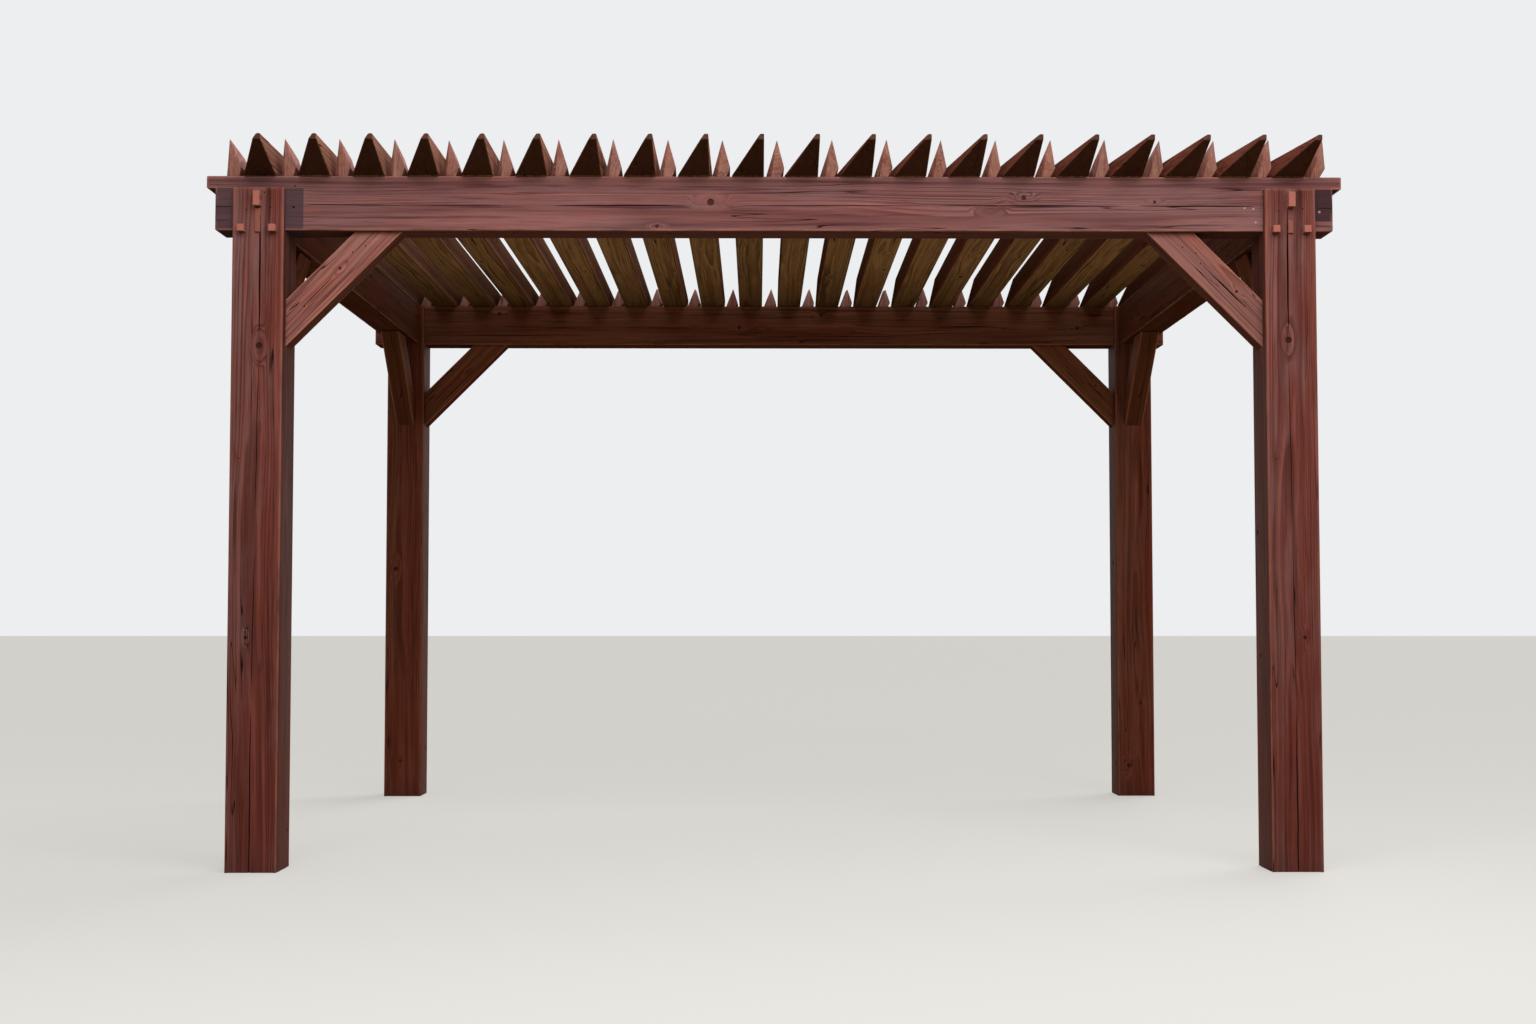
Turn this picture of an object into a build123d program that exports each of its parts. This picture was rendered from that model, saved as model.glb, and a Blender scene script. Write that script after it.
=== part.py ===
from build123d import *
import os

# A timber pergola. X runs along the front, Y from front to back and Z up.
# The origin is on the ground, in the middle of the plan. Every size is in millimetres.

# Plan and height
SPAN = 3840.0  # between post centres along the front
DEPTH = 2840.0  # between post centres from front to back
BEAM_TOP = 2580.0  # from the ground to the top of the beams

# Posts, each with an open slot between two cheeks at its head
POST_WIDTH = 190.0
POST_ARRIS = 6.0
CHEEK = 25.0

# Long beams at the front and rear, lying in the slots of the post heads
BEAM_DEEP = 205.0
BEAM_ARRIS = 4.0
BEAM_OVERHANG = 72.0  # past the outer side of the post
NOSE_DEEP = 47.0  # the top strip of each beam end, which reaches further out
NOSE_LENGTH = 33.0

# Side beams, tenoned through the inner cheeks
SIDE_THICK = 140.0
SIDE_TENON_THICK = 60.0
SIDE_SHOULDER = 40.0  # above and below the tenon

# Knee braces at 45 degrees, tenoned into post and beam
BRACE_REACH = 430.0  # from the corner to the far edge of the brace, on post and beam
BRACE_DEEP = 125.0
BRACE_THICK = 92.0
BRACE_TENON_THICK = 40.0
BRACE_TENON_LENGTH = 40.0

# Square pegs across the bearing of the beam on the post, half in each
PEG_SIZE = 28.0
PEG_OFFSET = 58.0  # from the middle of the post
PEG_PROUD = 28.0

# Two upright keys, one above the other, through the outer cheek and the beam
KEY_TOP_DROP = 66.0  # from the beam top to the top of the upper key
UPPER_KEY_WIDTH = 27.0
UPPER_KEY_DEEP = 58.0
UPPER_KEY_PROUD = 30.0
KEY_GAP = 3.0
LOWER_KEY_WIDTH = 21.0
LOWER_KEY_DROP = 14.0  # foot of the lower key under the bearing of the beam
LOWER_KEY_PROUD = 8.0
SHORT_KEY_DEEP = 50.0  # the lower key of the right posts, short of the upper one

# Rafters with pointed tails past both long beams, each cut away from below and raked off at its top left
RAFTER_SPACING = 202.0  # nominal, between rafter centres
RAFTER_WIDTH = 120.0
RAFTER_DEEP = 100.0
TAIL_HEEL = 10.0  # full section past the beam face, before the taper starts
TAIL_LENGTH = 230.0
TAIL_RAKE = 410.0  # from the heel inwards, to where the raking cut runs out on top
TIP_WIDTH = 14.0  # on top
TIP_DEEP = 20.0
TIP_ROUND = 4.0

# Pointed spacer blocks between the rafters, standing on the long beams
SPACER_WIDTH = 74.0
SPACER_FACE = 50.0  # width of the outer face, whose left end is an upright arris
SPACER_FACET = 34.0  # how far the left side falls back behind that arris
SPACER_UNDERCUT = 15.0  # foot of the right side, in from its shoulder
SPACER_SHOULDER = 30.0  # height of the right shoulder
SPACER_SETBACK = 5.0  # foot of the block from each face of the beam
SPACER_HEIGHT = 124.0  # at the outer end of the ridge
SPACER_INNER_HEIGHT = 96.0
SPACER_APEX_SHIFT = 8.0  # of the ridge to the right of the middle
SPACER_LEAN = 80.0  # how far the top of the outer face leans out

# Sizes that follow from those above
BEAM_THICK = POST_WIDTH - 2 * CHEEK
BEAM_BOTTOM = BEAM_TOP - BEAM_DEEP
POST_X = SPAN / 2
POST_Y = DEPTH / 2
HALF_POST = POST_WIDTH / 2
HALF_BEAM = BEAM_THICK / 2
OUTER_FACE = POST_Y + HALF_POST
INNER_FACE = POST_Y - HALF_POST
UPPER_KEY_FOOT = BEAM_TOP - KEY_TOP_DROP - UPPER_KEY_DEEP
LOWER_KEY_FOOT = BEAM_BOTTOM - LOWER_KEY_DROP
LONG_KEY_DEEP = UPPER_KEY_FOOT - KEY_GAP - LOWER_KEY_FOOT
RAFTER_COUNT = round(SPAN / RAFTER_SPACING) + 1
RAFTER_PITCH = SPAN / (RAFTER_COUNT - 1)


def box_between(low, high):
    """A box given by two opposite corners."""
    size = [b - a for a, b in zip(low, high)]
    middle = [(a + b) / 2 for a, b in zip(low, high)]
    return Pos(*middle) * Box(*size)


def side_prism(outline, x_low, x_high):
    """Extrude an outline of (y, z) points along X."""
    face = Plane.YZ.offset(x_low) * make_face(Polyline(*outline, close=True))
    return extrude(face, x_high - x_low)


def front_prism(outline, y_low, y_high):
    """Extrude an outline of (x, z) points along Y."""
    face = Plane.XZ.offset(-y_low) * make_face(Polyline(*outline, close=True))
    return extrude(face, y_low - y_high)


def plan_prism(outline, z_low, z_high):
    """Extrude an outline of (x, y) points along Z."""
    face = Plane.XY.offset(z_low) * make_face(Polyline(*outline, close=True))
    return extrude(face, z_high - z_low)


def shave(body, first, second, third):
    """Cut away what lies past the plane through three points, which the waste sees anticlockwise."""
    first, second, third = Vector(*first), Vector(*second), Vector(*third)
    outward = (second - first).cross(third - first)
    return split(body, bisect_by=Plane(first, z_dir=outward), keep=Keep.BOTTOM)


def pegs():
    """The two shear pegs of the front left post."""
    made = []
    for side in (-1, 1):
        middle = -POST_X + side * PEG_OFFSET
        low = (middle - PEG_SIZE / 2, -OUTER_FACE - PEG_PROUD, BEAM_BOTTOM - PEG_SIZE / 2)
        high = (middle + PEG_SIZE / 2, -POST_Y + HALF_BEAM, BEAM_BOTTOM + PEG_SIZE / 2)
        made.append(box_between(low, high))
    return made


def upright_key(width, proud, z_low, z_high):
    """One key on the middle line of the front left post."""
    low = (-POST_X - width / 2, -OUTER_FACE - proud, z_low)
    high = (-POST_X + width / 2, -POST_Y + HALF_BEAM, z_high)
    return box_between(low, high)


def keys(lower_deep):
    """The proud upper key and the nearly flush lower key, which has a depth of its own."""
    upper_top = UPPER_KEY_FOOT + UPPER_KEY_DEEP
    upper = upright_key(UPPER_KEY_WIDTH, UPPER_KEY_PROUD, UPPER_KEY_FOOT, upper_top)
    lower = upright_key(LOWER_KEY_WIDTH, LOWER_KEY_PROUD, LOWER_KEY_FOOT, LOWER_KEY_FOOT + lower_deep)
    return [upper, lower]


def key_slots(lower_deep):
    """The slots for both keys, the lower one with a little room above its key."""
    upper = upright_key(UPPER_KEY_WIDTH, 0, UPPER_KEY_FOOT, UPPER_KEY_FOOT + UPPER_KEY_DEEP)
    lower = upright_key(LOWER_KEY_WIDTH, 0, LOWER_KEY_FOOT, LOWER_KEY_FOOT + lower_deep + KEY_GAP)
    return upper + lower


def brace_band(inset, thick):
    """The slanting band of a brace about the corner of post and beam, in (across, up).

    The corner is the origin, across runs away from the post and up towards the beam.
    The band is cut off at a distance inset inside both timbers.
    """
    edge = BRACE_DEEP * 2**0.5
    near = BRACE_REACH - edge
    outline = [
        (-inset, -near - inset),
        (-inset, -BRACE_REACH - inset),
        (BRACE_REACH + inset, inset),
        (near + inset, inset),
    ]
    return front_prism(outline, -thick / 2, thick / 2)


def brace():
    """A knee brace in the XZ plane, about the corner of post and beam."""
    return brace_band(0, BRACE_THICK) + brace_band(BRACE_TENON_LENGTH, BRACE_TENON_THICK)


def front_brace():
    """Brace in the front plane, from the left post to the front beam."""
    return Pos(-POST_X + HALF_POST, -POST_Y, BEAM_BOTTOM) * brace()


def side_brace():
    """Brace in the left side, from the front post to the side beam."""
    return Pos(-POST_X, -INNER_FACE, BEAM_BOTTOM) * Rot(0, 0, 90) * brace()


def side_beam():
    """The left side beam, with a stub tenon through each inner cheek."""
    low = (-POST_X - SIDE_THICK / 2, -INNER_FACE, BEAM_BOTTOM)
    high = (-POST_X + SIDE_THICK / 2, INNER_FACE, BEAM_TOP)
    body = box_between(low, high)
    body = chamfer(body.edges().filter_by(Axis.Y), BEAM_ARRIS)
    return body + side_tenons()


def side_tenons():
    """The tenons of the left side beam, from one long beam to the other."""
    half = SIDE_TENON_THICK / 2
    low = (-POST_X - half, -POST_Y + HALF_BEAM, BEAM_BOTTOM + SIDE_SHOULDER)
    high = (-POST_X + half, POST_Y - HALF_BEAM, BEAM_TOP - SIDE_SHOULDER)
    return box_between(low, high)


def post(lower_deep):
    """The front left post, its head slotted for the front beam, with a lower key of the given depth."""
    low = (-POST_X - HALF_POST, -OUTER_FACE, 0)
    high = (-POST_X + HALF_POST, -INNER_FACE, BEAM_TOP)
    body = box_between(low, high)
    body = chamfer(body.edges().filter_by(Axis.Z), POST_ARRIS)
    left, right = -POST_X - POST_WIDTH, -POST_X + POST_WIDTH
    body -= box_between((left, -POST_Y - HALF_BEAM, BEAM_BOTTOM), (right, -POST_Y + HALF_BEAM, BEAM_TOP))
    body -= box_between(
        (left, -OUTER_FACE, BEAM_TOP - NOSE_DEEP), (right, -POST_Y - HALF_BEAM, BEAM_TOP)
    )
    body -= side_tenons()
    body -= key_slots(lower_deep)
    for peg in pegs():
        body -= peg
    return body - front_brace() - side_brace()


def long_beam():
    """The front beam, its ends stepped, with the housings of pegs, keys and braces."""
    end = POST_X + HALF_POST + BEAM_OVERHANG
    nose = end + NOSE_LENGTH
    step = BEAM_TOP - NOSE_DEEP
    outline = [
        (-end, BEAM_BOTTOM),
        (end, BEAM_BOTTOM),
        (end, step),
        (nose, step),
        (nose, BEAM_TOP),
        (-nose, BEAM_TOP),
        (-nose, step),
        (-end, step),
    ]
    body = front_prism(outline, -POST_Y - HALF_BEAM, -POST_Y + HALF_BEAM)
    long_edges = body.edges().filter_by(Axis.X).filter_by(lambda edge: edge.length > SPAN)
    body = chamfer(long_edges, BEAM_ARRIS)
    body -= key_slots(LONG_KEY_DEEP)
    body -= mirror(key_slots(SHORT_KEY_DEEP), about=Plane.YZ)
    for cut in [front_brace(), *pegs()]:
        body -= cut
        body -= mirror(cut, about=Plane.YZ)
    return body


def rafter(middle):
    """A rafter centred at one X, its tails running to blunt points in line with its right side."""
    beam_face = POST_Y + HALF_BEAM
    heel = beam_face + TAIL_HEEL
    tip = beam_face + TAIL_LENGTH
    top = BEAM_TOP + RAFTER_DEEP
    side_outline = [
        (-heel, BEAM_TOP),
        (heel, BEAM_TOP),
        (tip, top - TIP_DEEP),
        (tip, top),
        (-tip, top),
        (-tip, top - TIP_DEEP),
    ]
    left = middle - RAFTER_WIDTH / 2
    right = middle + RAFTER_WIDTH / 2
    body = side_prism(side_outline, left, right)
    body = shave(body, (left, -heel, BEAM_TOP), (right - TIP_WIDTH, -tip, top), (left, TAIL_RAKE - heel, top))
    body = shave(body, (left, heel, BEAM_TOP), (left, heel - TAIL_RAKE, top), (right - TIP_WIDTH, tip, top))
    upright = body.edges().filter_by(lambda edge: abs((edge @ 1 - edge @ 0).Z) > TIP_DEEP / 2)
    tip_edges = upright.filter_by(lambda edge: abs(edge.center().Y) > tip - 1)
    return fillet(tip_edges, TIP_ROUND)


def spacer(middle):
    """A pointed block on the front beam, its outer face leaning out and its ridge falling inwards."""
    outer = -POST_Y - HALF_BEAM + SPACER_SETBACK
    inner = -POST_Y + HALF_BEAM - SPACER_SETBACK
    left = middle - SPACER_WIDTH / 2
    right = middle + SPACER_WIDTH / 2
    ridge_x = middle + SPACER_APEX_SHIFT
    shoulder = BEAM_TOP + SPACER_SHOULDER
    shoulder_y = outer - SPACER_LEAN * SPACER_SHOULDER / SPACER_HEIGHT
    apex = (ridge_x, outer - SPACER_LEAN, BEAM_TOP + SPACER_HEIGHT)
    ridge_end = (ridge_x, inner, BEAM_TOP + SPACER_INNER_HEIGHT)
    arris_foot = (right - SPACER_FACE, outer, BEAM_TOP)
    left_foot = (left, outer + SPACER_FACET, BEAM_TOP)
    right_foot = right - SPACER_UNDERCUT
    body = box_between((left, outer - SPACER_LEAN, BEAM_TOP), (right, inner, BEAM_TOP + SPACER_HEIGHT))
    body = shave(body, arris_foot, (right, outer, BEAM_TOP), apex)
    body = shave(body, left_foot, arris_foot, apex)
    body = shave(body, left_foot, apex, ridge_end)
    body = shave(body, (right, shoulder_y, shoulder), ridge_end, apex)
    return shave(body, (right_foot, outer, BEAM_TOP), (right_foot, inner, BEAM_TOP), (right, outer, shoulder))


def spacers():
    """One block between each pair of rafters, and one outside each end rafter."""
    places = [-POST_X + (index - 0.5) * RAFTER_PITCH for index in range(RAFTER_COUNT + 1)]
    return [spacer(place) for place in places]


def corner_copies(name, left, right=None):
    """The pieces of both front corners, drawn at the left one, and their mirror images at the rear."""
    right = mirror(right or left, about=Plane.YZ)
    return {
        name.format(end="front", side="left"): left,
        name.format(end="front", side="right"): right,
        name.format(end="rear", side="left"): mirror(left, about=Plane.XZ),
        name.format(end="rear", side="right"): mirror(right, about=Plane.XZ),
    }


def all_pieces():
    """Every named piece of the pergola."""
    left_pegs = Compound(children=pegs() + keys(LONG_KEY_DEEP))
    right_pegs = Compound(children=pegs() + keys(SHORT_KEY_DEEP))
    pieces = {}
    pieces.update(corner_copies("post_{end}_{side}", post(LONG_KEY_DEEP), post(SHORT_KEY_DEEP)))
    pieces.update(corner_copies("brace_{end}_{side}", front_brace()))
    pieces.update(corner_copies("brace_{side}_{end}", side_brace()))
    pieces.update(corner_copies("pegs_{end}_{side}", left_pegs, right_pegs))
    pieces["beam_front"] = long_beam()
    pieces["beam_rear"] = mirror(pieces["beam_front"], about=Plane.XZ)
    pieces["beam_left"] = side_beam() - side_brace() - mirror(side_brace(), about=Plane.XZ)
    pieces["beam_right"] = mirror(pieces["beam_left"], about=Plane.YZ)
    pieces["spacers_front"] = Compound(children=spacers())
    pieces["spacers_rear"] = mirror(pieces["spacers_front"], about=Plane.XZ)
    for index in range(RAFTER_COUNT):
        pieces[f"rafter_{index + 1:02d}"] = rafter(-POST_X + index * RAFTER_PITCH)
    return pieces


os.makedirs("parts", exist_ok=True)
for name, piece in all_pieces().items():
    export_step(piece, f"parts/{name}.step")
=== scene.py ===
"""Looks of an open timber pergola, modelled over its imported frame.

Every timber is shaped again over its own solid: worn arrises, drying checks, knots, pin holes and nail heads
are real forms, and each finish is procedural wood that follows the grain of the piece it dresses.
"""

import logging
import math
import random
from abc import ABC, abstractmethod
from collections.abc import Callable, Iterable, Sequence
from dataclasses import dataclass, field, replace
from enum import Enum

import bmesh
import bpy
from mathutils import Matrix, Vector


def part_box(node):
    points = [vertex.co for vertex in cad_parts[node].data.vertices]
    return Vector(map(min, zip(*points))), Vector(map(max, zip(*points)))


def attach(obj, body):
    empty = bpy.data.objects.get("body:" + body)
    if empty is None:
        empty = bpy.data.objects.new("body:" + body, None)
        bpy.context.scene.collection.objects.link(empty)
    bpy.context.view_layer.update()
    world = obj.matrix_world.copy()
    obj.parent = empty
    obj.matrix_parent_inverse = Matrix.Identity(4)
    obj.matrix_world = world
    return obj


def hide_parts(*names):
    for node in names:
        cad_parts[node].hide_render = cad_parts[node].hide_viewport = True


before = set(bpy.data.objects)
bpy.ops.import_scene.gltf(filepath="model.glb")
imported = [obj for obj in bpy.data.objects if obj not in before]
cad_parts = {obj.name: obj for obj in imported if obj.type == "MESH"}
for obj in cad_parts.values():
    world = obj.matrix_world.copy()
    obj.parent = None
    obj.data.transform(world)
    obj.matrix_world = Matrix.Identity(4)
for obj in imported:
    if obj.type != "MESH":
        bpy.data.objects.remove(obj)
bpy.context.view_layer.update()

log = logging.getLogger("pergola")

Piece = bpy.types.Object
Tree = bpy.types.NodeTree
Socket = bpy.types.NodeSocket
Node = bpy.types.Node

MM = 0.001
FAR = 9.0  # past every side of the pergola, in metres
ROOT = "root"
CORNERS = tuple((end, side) for end in ("front", "rear") for side in ("left", "right"))
SHARP = math.radians(35)  # an edge that turns by more is an arris
SMOOTH_BELOW = math.radians(32)
PARALLEL = 0.999  # least cosine between a face's normal and the way that it looks

# What shows in a sawn face, as width across the grain and length along it, in millimetres.
SWAY_MM = (222, 1330)  # the bends by which the rings stray from true circles
BROAD_MM = (50, 1110)  # stretches where the late wood is firm or faint
STREAK_MM = (23.8, 770)  # streaks where the stain is thin or thick
FIBRE_LONG_MM = 200  # the fibres' length, while their width is the finish's own
SPLIT_MM = (29.4, 910)  # the clouds along whose borders the hairline splits run
SPLIT_AREA_MM = (111, 625)  # areas that have hairline splits
BLOOM_AND_SHEEN_MM = (143, 714)  # clouds of the weathered grey and of the painted sky sheen
RUB_MM = (25, 111)  # places where an arris is rubbed

ARRIS_SLOT = 1  # material place that marks the rounded arrises until they are worn
MIX_FACTOR, MIX_FIRST, MIX_SECOND, MIX_RESULT = 0, 6, 7, 2  # a Mix node's sockets for colours
RIGHT, LEFT = Vector((1, 0, 0)), Vector((-1, 0, 0))
BACK, FRONT = Vector((0, 1, 0)), Vector((0, -1, 0))
UP, DOWN = Vector((0, 0, 1)), Vector((0, 0, -1))


class Slot(Enum):
    """The record's material slots."""

    POST = "post_timber"
    BEAM = "beam_timber"
    BRACE = "brace_timber"
    RAFTER = "rafter_timber"
    PEG = "peg_timber"
    SPACER = "spacer_timber"


def linear(code: str) -> tuple[float, float, float, float]:
    """Turns an sRGB hex value into linear red, green, blue and alpha.

    Args:
        code: six hex digits, with no mark before them.

    Returns:
        The colour that a shader socket takes.
    """
    shares = [int(code[i:i + 2], 16) / 255 for i in (0, 2, 4)]
    return (*(s / 12.92 if s <= 0.04045 else ((s + 0.055) / 1.055) ** 2.4 for s in shares), 1.0)


def per_metre(across_mm: float, along_mm: float) -> tuple[float, float, float]:
    """Turns the size of a pattern's clouds into the scale that draws them.

    Args:
        across_mm: their width across the grain.
        along_mm: their length along the grain, which is the log's own Z.

    Returns:
        How many of them lie in a metre, on each of the log's axes.
    """
    return 1 / (across_mm * MM), 1 / (across_mm * MM), 1 / (along_mm * MM)


def add(tree: Tree, kind: str, values: dict | None = None, links: dict | None = None,
        **settings: object) -> Node:
    """Adds one node with its settings, its socket values and the links that feed it.

    Args:
        tree: the node tree that gets the node.
        kind: Blender's name of the node's type.
        values: what stands in an input socket, by the socket's name or number.
        links: what feeds an input socket, by the input's name or number. A node stands for its first output.
        settings: the node's own properties.

    Returns:
        The new node.
    """
    node = tree.nodes.new(kind)
    for name, value in settings.items():
        setattr(node, name, value)
    for socket, value in (values or {}).items():
        node.inputs[socket].default_value = value
    for socket, source in (links or {}).items():
        tree.links.new(source if isinstance(source, Socket) else source.outputs[0], node.inputs[socket])
    return node


def new_group(name: str, inputs: dict[str, str], outputs: dict[str, str]) -> tuple[Tree, Node, Node]:
    """Starts a node group with its sockets.

    Args:
        name: the group's name.
        inputs: kind of socket by the name of each input.
        outputs: kind of socket by the name of each output.

    Returns:
        The group, its input node and its output node.
    """
    group = bpy.data.node_groups.new(name, "ShaderNodeTree")
    for side, sockets in (("INPUT", inputs), ("OUTPUT", outputs)):
        for socket, kind in sockets.items():
            group.interface.new_socket(socket, in_out=side, socket_type=f"NodeSocket{kind}")
    return group, group.nodes.new("NodeGroupInput"), group.nodes.new("NodeGroupOutput")


def knot_group() -> Tree:
    """Makes, once, the node group that bends the rings round a branch and finds the branch's own core.

    Returns:
        The group. Core is 1 inside the knot, Rim is 1 on its bark line, and Bend moves the place in the log.
    """
    found = bpy.data.node_groups.get("knot_in_the_log")
    if found:
        return found
    group, given, wanted = new_group(
        "knot_in_the_log",
        {"Place": "Vector", "Centre": "Vector", "Branch": "Vector", "Radius": "Float"},
        {"Core": "Float", "Rim": "Float", "Bend": "Vector"},
    )
    reach_kept = 0.85
    along_the_grain = (1.0, 1.0, 0.36)
    offset = add(group, "ShaderNodeVectorMath", links={0: given.outputs["Place"], 1: given.outputs["Centre"]},
                 operation="SUBTRACT")
    reach = add(group, "ShaderNodeVectorMath", links={0: offset, 1: given.outputs["Branch"]},
                operation="DOT_PRODUCT")
    kept = add(group, "ShaderNodeMath", {1: reach_kept}, {0: reach.outputs["Value"]}, operation="MULTIPLY")
    pulled = add(group, "ShaderNodeVectorMath", links={0: given.outputs["Branch"], "Scale": kept},
                 operation="SCALE")
    flat = add(group, "ShaderNodeVectorMath", links={0: offset, 1: pulled},
               operation="SUBTRACT")
    size = add(group, "ShaderNodeVectorMath", links={0: flat}, operation="LENGTH")
    share = add(group, "ShaderNodeMath", links={0: size.outputs["Value"], 1: given.outputs["Radius"]},
                operation="DIVIDE")
    core = add(group, "ShaderNodeMapRange", {"From Min": 1.1, "From Max": 0.8}, {"Value": share},
               interpolation_type="SMOOTHSTEP")
    inner = add(group, "ShaderNodeMapRange", {"From Min": 0.9, "From Max": 0.6}, {"Value": share},
                interpolation_type="SMOOTHSTEP")
    rim = add(group, "ShaderNodeMath", links={0: core, 1: inner}, operation="SUBTRACT")
    drawn = add(group, "ShaderNodeVectorMath", {1: along_the_grain}, {0: flat}, operation="MULTIPLY")
    spread = add(group, "ShaderNodeVectorMath", links={0: drawn}, operation="LENGTH")
    far = add(group, "ShaderNodeMath", links={0: spread.outputs["Value"], 1: given.outputs["Radius"]},
              operation="DIVIDE")
    push = add(group, "ShaderNodeMapRange", {"From Min": 3.4, "From Max": 0.5, "To Max": 1.4},
               {"Value": far}, interpolation_type="SMOOTHERSTEP")
    lift = add(group, "ShaderNodeMath", links={0: push, 1: given.outputs["Radius"]},
               operation="MULTIPLY")
    bend = add(group, "ShaderNodeVectorMath", links={0: given.outputs["Branch"], "Scale": lift},
               operation="SCALE")
    group.links.new(core.outputs[0], wanted.inputs["Core"])
    group.links.new(rim.outputs[0], wanted.inputs["Rim"])
    group.links.new(bend.outputs[0], wanted.inputs["Bend"])
    return group


def patch_group() -> Tree:
    """Makes, once, the node group that is 1 inside a box and fades to 0 at its sides.

    Returns:
        The group. Sharpness is one over the width of the fade, in metres.
    """
    found = bpy.data.node_groups.get("patch_of_stain")
    if found:
        return found
    group, given, wanted = new_group(
        "patch_of_stain",
        {"Place": "Vector", "Low": "Vector", "High": "Vector", "Sharpness": "Float"},
        {"Mask": "Float"},
    )
    sides = []
    for first, second in (("Place", "Low"), ("High", "Place")):
        inside = add(group, "ShaderNodeVectorMath", links={0: given.outputs[first], 1: given.outputs[second]},
                     operation="SUBTRACT")
        steep = add(group, "ShaderNodeVectorMath", links={0: inside, "Scale": given.outputs["Sharpness"]},
                    operation="SCALE")
        capped = add(group, "ShaderNodeVectorMath", {1: (1.0, 1.0, 1.0)}, {0: steep},
                     operation="MINIMUM")
        sides.append(add(group, "ShaderNodeVectorMath", {1: (0.0, 0.0, 0.0)}, {0: capped},
                         operation="MAXIMUM"))
    both = add(group, "ShaderNodeVectorMath", links={0: sides[0], 1: sides[1]},
               operation="MULTIPLY")
    parts = add(group, "ShaderNodeSeparateXYZ", links={0: both})
    across = add(group, "ShaderNodeMath", links={0: parts.outputs["X"], 1: parts.outputs["Y"]},
                 operation="MULTIPLY")
    mask = add(group, "ShaderNodeMath", links={0: across, 1: parts.outputs["Z"]}, operation="MULTIPLY")
    group.links.new(mask.outputs[0], wanted.inputs["Mask"])
    return group


@dataclass(frozen=True)
class Knot:
    """Where a branch left the trunk, as it shows on a face.

    Attributes:
        centre: its middle on the face, in metres.
        branch: the way that the branch grew, out of the face.
        radius: of the knot itself, in metres.
    """

    centre: Vector
    branch: Vector
    radius: float = 11 * MM

    def cutter(self, wood: bpy.types.Material) -> Piece:
        """Models the lens that cuts the shallow dish which weather leaves at the knot.

        Args:
            wood: the timber's own finish, which the dish keeps.

        Returns:
            A closed lens with its place in its mesh.
        """
        made = round_cutter(self.centre, self.branch, Vector((self.radius, self.radius, 2.2 * MM)), 10, 6)
        made.data.materials.append(wood)
        return made


@dataclass(frozen=True)
class PinHole:
    """A small hole that a pulled nail left.

    Attributes:
        centre: its mouth on the face, in metres.
        inward: the way into the timber.
        radius: of the hole, in metres.
    """

    centre: Vector
    inward: Vector
    radius: float = 2.8 * MM

    def cutter(self, inside: bpy.types.Material) -> Piece:
        """Models the pointed pin that cuts the hole.

        Args:
            inside: the finish of the walls that it leaves.

        Returns:
            A closed pin with its place in its mesh.
        """
        made = round_cutter(self.centre, self.inward, Vector((self.radius, self.radius, 9 * MM)), 8, 6)
        made.data.materials.append(inside)
        return made


@dataclass(frozen=True)
class Check:
    """A split that opened along the grain as the timber dried.

    Attributes:
        start: one end on the face, in metres.
        end: the other end.
        inward: the way into the timber.
        width: of its mouth at the widest, in metres.
        depth: at the deepest.
        wander: how far it strays sideways.
    """

    start: Vector
    end: Vector
    inward: Vector
    width: float = 3.5 * MM
    depth: float = 18 * MM
    wander: float = 5 * MM

    def cutter(self, inside: bpy.types.Material) -> Piece:
        """Models the long lens that cuts the split.

        Args:
            inside: the finish of the walls that it leaves.

        Returns:
            A closed blade with its place in its mesh.
        """
        run = self.end - self.start
        turn = Matrix((run.cross(self.inward).normalized(), self.inward, run.normalized())).transposed()
        if turn.determinant() < 0:
            turn = Matrix((-turn.col[0], turn.col[1], turn.col[2])).transposed()
        rings = max(8, round(run.length / (22 * MM)))
        bpy.ops.object.select_all(action="DESELECT")
        bpy.ops.mesh.primitive_uv_sphere_add(
            segments=4, ring_count=rings, radius=1.0, location=(self.start + self.end) / 2,
            rotation=turn.to_euler(), scale=(self.width / 2, self.depth, run.length / 2),
        )
        made = bpy.context.object
        made.data.materials.append(inside)
        bpy.ops.object.transform_apply(location=False, rotation=False, scale=True)
        apply_modifier(made, "DISPLACE", texture=cloud("wander", 110 * MM), texture_coords="GLOBAL",
                       direction="X", strength=self.wander * 2, mid_level=0.5)
        settle_in_frame(made)
        return made


@dataclass(frozen=True)
class Patch:
    """A box of the frame where the stain is darker or paler.

    Attributes:
        low: the lowest corner, in metres.
        high: the highest corner.
        colour: sRGB hex value.
        strength: from 0 to 1.
        blur: width of its edge, in metres.
    """

    low: Vector
    high: Vector
    colour: str
    strength: float = 0.8
    blur: float = 6 * MM


@dataclass(frozen=True)
class Marks:
    """Everything that time and tools left on one timber."""

    checks: tuple[Check, ...] = ()
    knots: tuple[Knot, ...] = ()
    holes: tuple[PinHole, ...] = ()
    patches: tuple[Patch, ...] = ()


@dataclass(frozen=True)
class Grain:
    """How the wood lies in one timber.

    Attributes:
        pith: a point of the log's middle line, in metres.
        along: the way that the fibres run.
        marks: the timber's knots and patches.
        tone: how light this timber is beside the others, about 1.
    """

    pith: Vector
    along: Vector
    marks: Marks = Marks()
    tone: float = 1.0

    @property
    def turn(self) -> Matrix:
        """The rotation from the log's own axes, with Z along the grain, to the frame."""
        return self.along.to_track_quat("Z", "Y").to_matrix()

    def local(self, point: Vector) -> Vector:
        """Returns a point of the frame in the log's own axes."""
        return self.turn.transposed() @ (point - self.pith)


@dataclass(frozen=True)
class PaintedSideLight:
    """Painted light or shade on the faces of a timber that look one way.

    Attributes:
        side: the way that they look.
        least: how squarely they look that way, 1 for quite squarely.
        colour: sRGB hex value.
        share: how much of the face it takes.
    """

    side: Vector
    least: float
    colour: str
    share: float


# Painted shade: faces that look down are darkened, standing in for the shade beneath each timber.
PAINTED_SHADE_BELOW = PaintedSideLight(DOWN, 0.6, "2C1A14", 0.6)


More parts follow.
